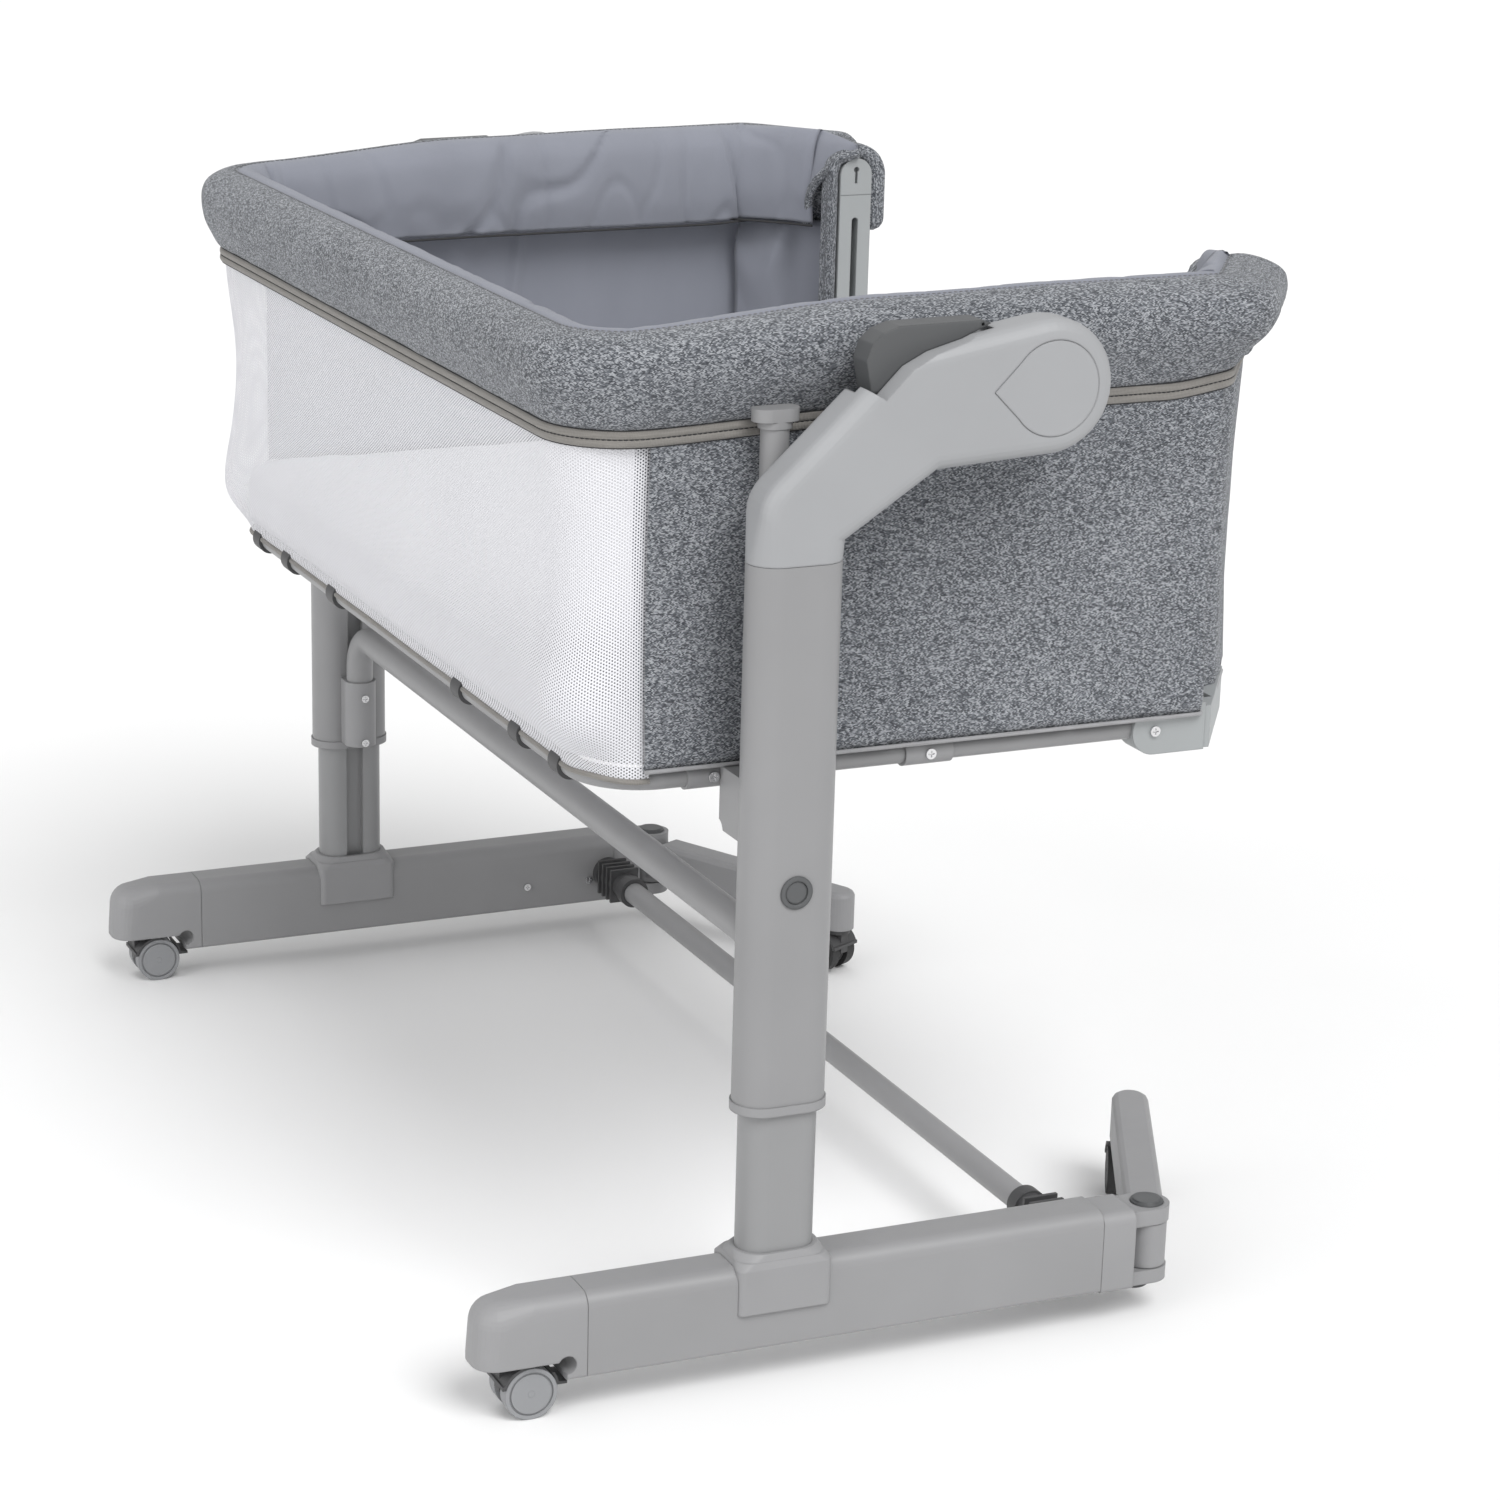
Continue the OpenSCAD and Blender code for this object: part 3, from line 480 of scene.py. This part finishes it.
SIDE_CLOTH = plain_cloth("side_cloth", (0.21, 0.214, 0.226), wrinkle=0.0004)
MATTRESS = plain_cloth("mattress_cover", (0.70, 0.70, 0.72), wrinkle=0.0009, variation=0.02)
MESH = open_mesh("side_mesh", (0.76, 0.76, 0.795))
TAPE = ribbed_tape("trim_tape_cloth", (0.215, 0.203, 0.187))
PIPING = ribbed_tape("hem_piping", (0.31, 0.31, 0.32))
THREAD = moulded("dark_thread", (0.03, 0.03, 0.032), 0.8, 0.00003, 2500, 0.0)
GREY_THREAD = moulded("grey_thread", (0.20, 0.20, 0.21), 0.8, 0.00003, 2500, 0.0)

SLOT_FINISH = {
    "frame_grey": FRAME_GREY,
    "plastic_grey": PLASTIC_GREY,
    "arm_grey": ARM_GREY,
    "tube_plastic": TUBE_GREY,
    "post_plastic": POST_GREY,
    "dark_plastic": DARK_PLASTIC,
    "handle_dark": HANDLE_DARK,
    "chrome_screw": CHROME,
    "wheel_outer": WHEEL_GREY,
    "wheel_inner": WHEEL_BLACK,
    "board": BOARD,
}


def dress_cad():
    """Every CAD node keeps its shape and gets the finish of its material slot."""
    for row in frame["record"]["subparts"]:
        finish = SLOT_FINISH.get(row["material_slot"])
        if finish:
            mesh = frame["nodes"][row["node"]].data
            mesh.materials.clear()
            mesh.materials.append(finish)


# ---------------------------------------------------------------- walls
def wall_sheet(name, places, levels, offset, material):
    """A sheet along the outline. levels are heights, and offset(place, z) is how far it stands out."""
    rows, uvs = [], []
    for p in places:
        row, uv, climb, last = [], [], 0.0, None
        for level in levels:
            z = level(p) if callable(level) else level
            point = p.at(offset(p, z), z)
            climb += (Vector(point) - Vector(last)).length if last else 0.0
            row.append(point)
            uv.append((p.s, climb))
            last = point
        rows.append(row)
        uvs.append(uv)
    return grid(name, rows, uvs, material)


def levels_between(bottom, top, count):
    """Functions of a place that give evenly spaced heights, the top one following the tape line."""
    def height(k):
        t = k / (count - 1)
        return lambda p: bottom + (top + tape_shift(p.x) - bottom) * t
    return [height(k) for k in range(count)]


def wall_hollow(z):
    """How far the stretched walls draw in between the hem and the tape."""
    up = min(1.0, max(0.0, (z - HEM) / (TAPE_LOW - HEM)))
    return -0.0035 * math.sin(math.pi * up)


def wall_fold(p, z):
    """The walls fold in past the bed-side corner, and come out again before the guide post."""
    depth = 0.0115
    turned = ramp(abs(p.nx) * (p.x > 0), 0.1, 0.8)
    clear_of_post = ramp(abs(p.y) - WALL_STOP, 0.042, 0.060)
    flattened = 0.7 * ramp(z, TAPE_LOW - 0.03, TAPE_HIGH)
    return -depth * turned * clear_of_post * (1 - flattened)


def end_panels():
    """Melange walls at both ends, from the mesh seam to the guide posts."""
    def offset(p, z):
        up = (z - HEM) / (TAPE_LOW - HEM)
        puckers = 0.0012 * lumps(p.s * 26, z * 18, 3) * (1 - 0.5 * up)
        hem_puckers = 0.0010 * lumps(p.s * 90, z * 12, 5) * (1 - ramp(z, HEM, HEM + 0.03))
        roll = -0.0035 * (1 - ramp(z, HEM, HEM + 0.008))
        return -0.0008 + puckers + hem_puckers + roll + wall_hollow(z) + wall_fold(p, z)

    levels = levels_between(HEM - 0.001, TAPE_HIGH + 0.006, 46)
    for side, sign in SIDES:
        places = [p for p in outline(step=0.005) if p.x >= SEAM_X - 0.0001 and p.y * sign > 0]
        panel = wall_sheet(f"{side}_wall_cloth", places, levels, offset, MELANGE)
        thicken(panel, 0.0022, against_normals=sign > 0)
        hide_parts(f"{side}_end_panel")
        hem = [p.at(0.0006 + wall_fold(p, HEM), HEM - 0.0012) for p in places]
        cord_tube(f"{side}_hem_piping", hem, 0.0016, PIPING)
        # the wall's free edge at the guide post, folded over
        edge = places[-1 if sign > 0 else 0]
        fold = [edge.at(offset(edge, z) - 0.0014 + 0.0004 * lumps(z * 90, 1), z)
                for z in np.linspace(HEM + 0.006, TAPE_HIGH, 40)]
        cord_tube(f"{side}_edge_binding", fold, 0.0028, MELANGE, sides=10)


def mesh_panel():
    """White mesh round the outer side, pushed out where the mattress fills it."""
    mattress_line = MATTRESS_HIGH.z - 0.008
    bottom = HEM - 0.009

    def offset(p, z):
        round_side = ramp(p.x, SEAM_X, SEAM_X - 0.05)
        belly = 0.0035 * math.exp(-((z - mattress_line) / 0.03) ** 2)
        tuck = 0.020 * (1 - ramp(z, HEM - 0.01, mattress_line)) ** 1.6
        waist = 0.008 * math.sin(math.pi * ramp(z, mattress_line, TAPE_LOW))
        slack = 0.0012 * lumps(p.s * 9, z * 14, 9)
        at_seam = wall_hollow(z) - 0.0030
        return -0.0012 + round_side * (belly - tuck - waist + slack) + (1 - round_side) * at_seam

    places = [p for p in outline(step=0.005) if p.x <= SEAM_X + 0.006]
    panel = wall_sheet("side_mesh_cloth", places, levels_between(bottom, TAPE_HIGH + 0.004, 52),
                       offset, MESH)
    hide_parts("mesh_side_panel")
    hem = [p.at(offset(p, bottom) + 0.0005, bottom) for p in places]
    cord_tube("mesh_hem_binding", hem, 0.0021, TAPE)


def inner_liners():
    """Smooth liner inside both end walls, from the mattress to the seam under the rim's lining."""
    bottom, top = MATTRESS_HIGH.z - 0.004, TAPE_LOW + 0.006

    def offset(p, z):
        up = (z - bottom) / (top - bottom)
        soft = 0.0022 * lumps(p.s * 16, z * 4.5, 21) * (0.35 + 0.65 * up)
        folds = -0.0042 * crease(p.s * 7.5, z * 1.2, 27, 0.06) * ramp(up, 0.0, 0.5)
        return -0.0085 + soft + folds + wall_fold(p, z)

    levels = np.linspace(bottom, top, 31)
    for side, sign in SIDES:
        places = [p for p in outline(step=0.004) if p.x >= SEAM_X - 0.012 and p.y * sign > 0]
        liner = wall_sheet(f"{side}_inner_liner", places, levels, offset, LINER)
        thicken(liner, 0.0012, against_normals=sign < 0)
        if sign < 0:
            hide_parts("end_liners")


# ---------------------------------------------------------------- rim
def rim_frame(p):
    """Heights of the rim's bottom and top at a place."""
    top = RIM_HIGH - 0.013 * dip(p.x) + 0.002 * ramp(p.x, STAND_X + 0.1, STAND_X + 0.25)
    bottom = RIM_LOW + tape_shift(p.x)
    return bottom, top


def end_dome(p, total):
    """1 at both ends of the rim, where its lining climbs over the guide posts' hoods."""
    return 1 - ramp(min(p.s, total - p.s), 0.015, 0.085)


# a section of the padded rim: out from the wall's face, and share of the rim's height
RIM_SECTION = [
    (0.0010, 0.00),
    (0.0105, 0.20),
    (0.0180, 0.44),
    (0.0195, 0.68),
    (0.0125, 0.88),
    (-0.0060, 0.985),
    (-0.0240, 0.89),
    (-0.0330, 0.72),
    (-0.0340, 0.40),
    (-0.0290, 0.12),
    (-0.0170, 0.02),
]


def rim_points(p, total):
    """Ring of points of the rim's section at a place, with soft lumps of the padding."""
    bottom, top = rim_frame(p)
    middle = -0.013  # between the rim's outer and inner faces
    swell = 1.0 + 0.05 * lumps(p.s * 5, 0.3, 41)
    inner_swell = swell * (1 - 0.36 * end_dome(p, total))
    flare = 0.012 * ramp(p.x, WALL_BED - 0.09, WALL_BED - 0.01) - 0.002 * dip(p.x)
    ring = []
    for out, share in smooth_curve(RIM_SECTION, 56, closed=True):
        lump = 0.0011 * lumps(p.s * 22, share * 3.0, 43) + 0.0006 * lumps(p.s * 70, share * 6, 44)
        o = middle + (out - middle) * (inner_swell if out < middle else swell)
        if o > middle:
            o += flare * ramp(share, 0.0, 0.6) * min(1.0, (o - middle) / 0.03)
        outwards = math.copysign(1, o - middle)
        ring.append((o + lump * outwards, bottom + (top - bottom) * share))
    return ring


def rim_cover():
    """The rim's padded melange roll, rounded off at both guide posts."""
    places = outline(stop=GUIDE_HIGH.y + 0.008, step=0.0045)
    total = places[-1].s
    rounding = 0.016
    rows, uvs = [], []
    along, before = 0.0, None
    for p in places:
        near_end = min(1, min(p.s, total - p.s) / rounding)
        shrink = math.sqrt(max(0.02, 1 - (1 - near_end) ** 2))
        ring = rim_points(p, total)
        centre = np.mean(np.array(ring), axis=0)
        outer = Vector(p.at(0.02, 0.0))  # the cloth is measured along the rim's outer face
        along += (outer - before).length if before else 0.0
        before = outer
        row, uv, girth, last = [], [], 0.0, None
        for point in ring:
            q = centre + (np.array(point) - centre) * shrink
            girth += float(np.linalg.norm(q - last)) if last is not None else 0.0
            last = q
            row.append(p.at(q[0], q[1]))
            uv.append((along, girth))
        rows.append(row)
        uvs.append(uv)
    cover = grid("rim_cover", rows, uvs, MELANGE, around=True, caps=True)
    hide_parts("padded_rim")


def lining_seam_height(p):
    """Height of the seam that the rim's lining hangs to."""
    return TAPE_LOW + tape_shift(p.x) * 0.4


def lining_line(p, total, count=34):
    """Places down the lining at one place of the rim, from the ridge to the seam."""
    top = rim_frame(p)[1]
    dome = end_dome(p, total)
    hang = lining_seam_height(p) + 0.002
    ridge, lift, thin = -0.0170, 0.002 * dome, 1 - 0.40 * dome
    line = [
        (-0.0120, top - 0.0030),
        (ridge, top - 0.0005 + lift),
        (ridge - 0.0110 * thin, top - 0.0035 + lift),
        (ridge - 0.0220 * thin, top - 0.0170 + lift),
        (ridge - 0.0260 * thin, top - 0.0400),
        (ridge - 0.0250 * thin, hang + 0.022),
        (ridge - 0.0190 * thin, hang + 0.002),
    ]
    out = []
    for k, (o, z) in enumerate(smooth_curve(line, count)):
        t = k / (count - 1)
        loose = ramp(t, 0.05, 0.35)
        gather = 0.0014 * abs(lumps(p.s * 34, t * 1.6, 61)) * (1 - 0.4 * t)
        wide_folds = 0.0050 * crease(p.s * 9, t * 0.8, 63, 0.06)
        small_folds = 0.0022 * crease(p.s * 23, t * 1.1, 65, 0.1)
        folds = (wide_folds + small_folds) * loose * (1 - 0.5 * dome)
        sag = 0.0016 * abs(lumps(p.s * 12, t * 1.2, 66)) * loose
        out.append((o - gather - sag + folds, z))
    return out


LINING_PAST = 0.026  # the lining leaves the rim this far before the guide post
LINING_STEP = 0.0035


def lining_wrap(edge, sign, count=17):
    """Rows of the lining drawn from its edge round the rim's end to the hood of a guide post."""
    (x0, _, z0), (x1, _, z1) = edge[0], edge[-1]
    reach = GUIDE_HALF + 0.0055
    under_rim = [(x1, z1), (GUIDE_X - reach - 0.008, ARCH_Z - 0.014),
                 (GUIDE_X - reach, ARCH_Z + 0.006),
                 (GUIDE_X - 0.62 * reach, ARCH_Z + 0.80 * reach), (GUIDE_X, ARCH_Z + reach)]
    lower = smooth_curve(under_rim, count)
    far_y = GUIDE_HIGH.y + LINING_PAST
    rows = []
    for k, (lower_x, lower_z) in enumerate(lower):
        t = k / (count - 1)
        y = far_y - (far_y - GUIDE_LOW.y + 0.001) * math.sin(t * math.pi / 2)
        top_x, top_z = x0 + (GUIDE_X - x0) * t, z0 + (GUIDE_HIGH.z + 0.011 - z0) * t * t
        row = []
        for x, _, z in edge:
            u = (z0 - z) / (z0 - z1)
            puff = (x - (x0 + (x1 - x0) * u)) * (1 - t)
            row.append((top_x + (lower_x - top_x) * u + puff, sign * y, top_z + (lower_z - top_z) * u))
        rows.append(row)
    return rows


def rim_lining():
    """Liner cloth over the rim's inner face: gathered along the ridge, hanging to a seam, and
    drawn round the rim's end to the hood of each guide post."""
    places = outline(stop=GUIDE_HIGH.y + LINING_PAST, step=LINING_STEP)
    total = places[-1].s
    rows = [[p.at(o, z) for o, z in lining_line(p, total)] for p in places]
    near_wrap, far_wrap = lining_wrap(rows[0], -1), lining_wrap(rows[-1], 1)
    rows = near_wrap[:0:-1] + rows + far_wrap[1:]
    uvs = []
    for i, row in enumerate(rows):
        girth = [0.0]
        for a, b in zip(row, row[1:]):
            girth.append(girth[-1] + (Vector(b) - Vector(a)).length)
        uvs.append([(i * LINING_STEP, g) for g in girth])
    lining = grid("rim_lining", rows, uvs, LINER)
    thicken(lining, 0.0012)
    for (side, sign), wrap in zip(SIDES, (near_wrap, far_wrap)):
        hem = [(x, y - sign * 0.001, z - 0.001) for x, y, z in (row[-1] for row in wrap)]
        cord_tube(f"{side}_lining_hem", hem, 0.0042, MELANGE, sides=12)
    ridge = [p.at(-0.0105, rim_frame(p)[1] - 0.0010) for p in places]
    thread = stitches("ridge_stitches", ridge, pitch=0.0042, length=0.0028, radius=0.0004,
                      material=GREY_THREAD)
    seam = [p.at(-0.0366 + 0.0076 * end_dome(p, total), lining_seam_height(p) + 0.0015) for p in places]
    cord_tube("lining_seam", seam, 0.0011, THREAD, sides=6)


def hood_path():
    """Places over a guide post: up its thin inner leg, round the arch, and down the thick outer leg.
    Each is x, z and half the hood's thickness."""
    thin, thick = 0.0034, 0.0080
    inner_gap, outer_gap = 0.0042, 0.0078
    arch = 24
    path = [(GUIDE_X - GUIDE_HALF - inner_gap, z, thin)
            for z in np.linspace(TAPE_LOW - 0.06, ARCH_Z, 22)]
    for k in range(1, arch):
        share = k / arch
        a = math.pi * (1 - share)
        reach = GUIDE_HALF + inner_gap + (outer_gap - inner_gap) * share
        path.append((GUIDE_X + reach * math.cos(a), ARCH_Z + reach * math.sin(a),
                     thin + (thick - thin) * share))
    path += [(GUIDE_X + GUIDE_HALF + outer_gap, z, thick)
             for z in np.linspace(ARCH_Z, TAPE_HIGH - 0.010, 18)]
    return path


def rim_hoods():
    """Melange hood of the rim's end over each guide post, a padded arch."""
    path = hood_path()
    depth, around = 0.024, 28
    for side, sign in SIDES:
        y_mid = sign * (GUIDE_LOW.y + 0.5 * depth + 0.001)
        rows, uvs, s = [], [], 0.0
        for i, (x, z, thick) in enumerate(path):
            before, after = path[max(i - 1, 0)], path[min(i + 1, len(path) - 1)]
            ahead = Vector((after[0] - before[0], 0, after[1] - before[1])).normalized()
            out = Vector((-ahead.z, 0, ahead.x))
            s += math.hypot(x - before[0], z - before[1])
            to_end = min(1, (len(path) - 1 - i) / 4)
            end_soft = math.sqrt(max(0.03, 1 - (1 - to_end) ** 2))  # rounds off the outer leg's end
            row, uv = [], []
            for k in range(around):
                a = 2 * math.pi * k / around
                squarish = (abs(math.cos(a)) ** 4 + abs(math.sin(a)) ** 4) ** -0.25
                reach = squarish * end_soft * (1 + 0.04 * lumps(s * 40, k * 0.4, 71))
                q = out * (thick * math.cos(a) * reach)
                row.append((x + q.x, y_mid + depth / 2 * math.sin(a) * reach, z + q.z))
                uv.append((s, depth * a / 3))
            rows.append(row)
            uvs.append(uv)
        hood = grid(f"{side}_rim_hood", rows, uvs, MELANGE, around=True, caps=True)


def trim():
    """Flat tape under the rim: two rolls with a dark stitched line between them, and thin dark edges."""
    places = outline(step=0.005)
    proud = 0.0004
    # a section of the tape: out from the wall's face, and share of the tape's height
    section = [(0.0004, 0.0), (0.0026, 0.10), (0.0032, 0.28), (0.0027, 0.44), (0.0017, 0.50),
               (0.0027, 0.56), (0.0032, 0.72), (0.0026, 0.90), (0.0004, 1.0)]
    curve = smooth_curve(section, 27)

    def tape_point(p, out, share):
        return p.at(out + proud, TAPE_LOW + tape_shift(p.x) + TAPE_HEIGHT * share)

    rows = [[tape_point(p, out, share) for out, share in curve] for p in places]
    uvs = [[(p.s, TAPE_HEIGHT * share) for _, share in curve] for p in places]
    tape = grid("trim_tape_band", rows, uvs, TAPE)
    thicken(tape, 0.0008)
    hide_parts("trim_tape")
    line = [tape_point(p, 0.0022, 0.5) for p in places]
    thread = stitches("tape_stitches", line, pitch=0.0038, length=0.0031, radius=0.00045,
                      material=THREAD)
    for name, share in (("lower", 0.02), ("upper", 0.98)):
        line = [tape_point(p, 0.0012, share) for p in places]
        cord_tube(f"tape_{name}_edge", line, 0.00055, THREAD, sides=6)


# ---------------------------------------------------------------- mattress and side
def rounded_slab(name, x0, x1, y, z0, z1, radius, material):
    """A flat cushion blank with rounded corners, fine enough to be inflated."""
    ring = []
    parts = 8  # of each corner
    for cx, cy, start in ((x1 - radius, y - radius, 0), (x0 + radius, y - radius, 90),
                          (x0 + radius, -y + radius, 180), (x1 - radius, -y + radius, 270)):
        for k in range(parts + 1):
            a = math.radians(start + 90 * k / parts)
            ring.append((cx + radius * math.cos(a), cy + radius * math.sin(a)))
    middle = (x0 + x1) / 2

    def scaled_ring(share, z):
        return [(middle + (x - middle) * share, w * share, z) for x, w in ring]

    across_face = [0.02, 0.2, 0.4, 0.6, 0.75, 0.87, 0.95, 0.985, 1.0]
    down_edge = [0.12, 0.3, 0.5, 0.7, 0.88]
    rows = [scaled_ring(share, z1) for share in across_face]
    rows += [scaled_ring(1.0 + 0.006 * math.sin(math.pi * t), z1 + (z0 - z1) * t) for t in down_edge]
    rows += [scaled_ring(share, z0) for share in reversed(across_face)]
    uvs = [[(p[0], p[1] + p[2]) for p in row] for row in rows]
    return grid(name, rows, uvs, material, body=None, around=True, caps=True)


def inflate(piece, pressure, limit, voxel=0.006, steps=20):
    """Blows a cushion blank up with a short cloth simulation, each point moving at most limit."""
    scene = bpy.context.scene
    mod = piece.modifiers.new("remesh", "REMESH")
    mod.mode = "VOXEL"
    mod.voxel_size = voxel
    apply_modifiers(piece)
    rest = np.zeros(len(piece.data.vertices) * 3, np.float32)
    piece.data.vertices.foreach_get("co", rest)
    cloth = piece.modifiers.new("cloth", "CLOTH")
    cloth.settings.use_pressure = True
    cloth.settings.uniform_pressure_force = pressure
    cloth.settings.effector_weights.gravity = 0
    cloth.settings.quality = 5
    cloth.settings.tension_stiffness = 25
    cloth.settings.compression_stiffness = 25
    cloth.point_cache.frame_start, cloth.point_cache.frame_end = 1, steps
    for k in range(1, steps + 1):
        scene.frame_set(k)
    apply_modifiers(piece)
    scene.frame_set(1)
    moved = np.zeros(len(piece.data.vertices) * 3, np.float32)
    piece.data.vertices.foreach_get("co", moved)
    step = (moved - rest).reshape(-1, 3)
    length = np.linalg.norm(step, axis=1, keepdims=True)
    step *= np.minimum(1.0, limit / np.maximum(length, 1e-9))
    piece.data.vertices.foreach_set("co", (rest.reshape(-1, 3) + step).ravel())
    piece.data.update()


def cloth_uv_from_place(piece):
    """Gives a remeshed cushion cloth coordinates, flat on its top and rolled down its sides."""
    layer = piece.data.uv_layers.get("cloth") or piece.data.uv_layers.new(name="cloth")
    co = np.array([v.co for v in piece.data.vertices], float)
    index = np.zeros(len(piece.data.loops), np.int32)
    piece.data.loops.foreach_get("vertex_index", index)
    uv = np.stack([co[:, 0] + co[:, 2] * 0.5, co[:, 1] + co[:, 2] * 0.5], axis=1)
    layer.data.foreach_set("uv", uv[index].astype(np.float32).ravel())


def mattress():
    """The mattress: a thin crowned pad with rounded corners."""
    inset = 0.003
    x0, x1 = MATTRESS_LOW.x + inset, MATTRESS_HIGH.x - inset
    y = MATTRESS_HIGH.y - inset
    z0, z1 = MATTRESS_LOW.z + 0.001, MATTRESS_HIGH.z - 0.003
    pad = rounded_slab("mattress_cushion", x0, x1, y, z0, z1, radius=0.05, material=MATTRESS)
    inflate(pad, pressure=4.0, limit=0.006)
    cloth_uv_from_place(pad)
    pad.data.polygons.foreach_set("use_smooth", [True] * len(pad.data.polygons))
    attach(pad, "basket")
    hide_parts("mattress")


SIDE_END = GUIDE_LOW.y - 0.004  # the lowering side's cloth stops just short of the guide posts


def side_rail_cover():
    """Padded melange cover of the lowered side's rail."""
    middle_z = (RAIL_LOW + RAIL_HIGH) / 2
    half_w, half_h = 0.0108, (RAIL_HIGH - RAIL_LOW) / 2 - 0.0004
    around = 32
    rows, uvs = [], []
    for y in np.linspace(-SIDE_END, SIDE_END, 150):
        near_end = min(1, (SIDE_END - abs(y)) / 0.012)
        shrink = math.sqrt(max(0.04, 1 - (1 - near_end) ** 2))
        row, uv = [], []
        for k in range(around):
            a = 2 * math.pi * k / around
            soft = shrink * min(1.0, 1 + 0.05 * lumps(y * 16, k * 0.35, 81))
            row.append((GUIDE_X + half_w * math.cos(a) * soft, y,
                        middle_z + half_h * math.sin(a) * soft))
            uv.append((y, 0.014 * a))
        rows.append(row)
        uvs.append(uv)
    roll = grid("side_rail_cover", rows, uvs, MELANGE, body="lowering_side", around=True, caps=True)


def side_pleats():
    """Pleated cloth under the rail."""
    bottom, top = low("side_fabric").z + 0.001, high("side_fabric").z - 0.0005
    folds, levels = 11, 111
    fold_cloth = 0.0205  # height of cloth in each fold
    half_width = 0.0095
    end = SIDE_END - 0.002
    rows, uvs = [], []
    for y in np.linspace(-end, end, 110):
        row, uv = [], []
        for k in range(levels):
            t = k / (levels - 1)
            swing = math.cos(math.pi * folds * t) * (1 - 0.06 * abs(lumps(y * 20, k * 0.1, 85)))
            row.append((GUIDE_X + half_width * swing, y, bottom + (top - bottom) * t))
            uv.append((y, fold_cloth * folds * t))
        rows.append(row)
        uvs.append(uv)
    pleats = grid("side_pleated_cloth", rows, uvs, SIDE_CLOTH, body=None)
    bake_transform(pleats)
    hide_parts("side_fabric")


# ---------------------------------------------------------------- stage, light and camera
def floor():
    """A plain pale disc."""
    radius, sides = 14.0, 64
    turns = [2 * math.pi * k / sides for k in range(sides)]
    ring = [(radius * math.cos(a), radius * math.sin(a), 0.0) for a in turns]
    f = Finish("pale_floor", 0.7)
    tone = f.noise(f.objects_place(), 2.0, 2)
    f.colour(f.ramp(tone, (0.3, (0.88, 0.88, 0.88)), (0.7, (0.90, 0.90, 0.90))))
    disc = finish_mesh("floor", ring, [tuple(range(sides))], [p[:2] for p in ring], f.mat, body=None)


def soft_light(name, toward, spread, strength):
    """Even light from one direction, its shadows softened by the spread in degrees."""
    light = bpy.data.lights.new(name, "SUN")
    light.angle = math.radians(spread)
    light.energy = strength
    lamp = bpy.data.objects.new(name, light)
    lamp.location = Vector(toward) * 3
    lamp.rotation_mode = "QUATERNION"
    lamp.rotation_quaternion = (-Vector(toward)).to_track_quat("-Z", "Y")
    bpy.context.scene.collection.objects.link(lamp)


def studio():
    """White surroundings, a soft key light from above the near end, and a fill from the mesh side."""
    world = bpy.data.worlds.new("studio")
    world.use_nodes = True
    back = world.node_tree.nodes["Background"]
    back.inputs["Color"].default_value = (1, 1, 1, 1)
    back.inputs["Strength"].default_value = 0.62
    bpy.context.scene.world = world
    bpy.context.scene.view_settings.view_transform = "Standard"
    soft_light("key", (0.10, -0.62, 0.78), spread=35, strength=2.0)
    soft_light("fill", (-0.90, -0.25, 0.45), spread=50, strength=0.9)


def camera():
    """The photograph's viewing angle: from the near outer side, a little above the rim."""
    data = bpy.data.cameras.new("camera")
    data.sensor_width = 36.0
    data.lens = 91.9
    data.shift_x, data.shift_y = 0.1414, 0.0772
    data.clip_start, data.clip_end = 0.05, 60.0
    cam = bpy.data.objects.new("camera", data)
    place = Matrix.Translation((STAND_X - 1.0771, -2.7569, 1.2238))
    turn = Matrix.Rotation(math.radians(-21.3928), 4, "Z")
    downwards = 18.484
    tilt = Matrix.Rotation(math.radians(90 - downwards), 4, "X")
    roll = Matrix.Rotation(math.radians(0.5376), 4, "Z")
    cam.matrix_world = place @ turn @ tilt @ roll
    bpy.context.scene.collection.objects.link(cam)
    bpy.context.scene.camera = cam


dress_cad()
end_panels()
mesh_panel()
inner_liners()
rim_cover()
rim_lining()
rim_hoods()
trim()
mattress()
side_rail_cover()
side_pleats()
floor()
studio()
camera()
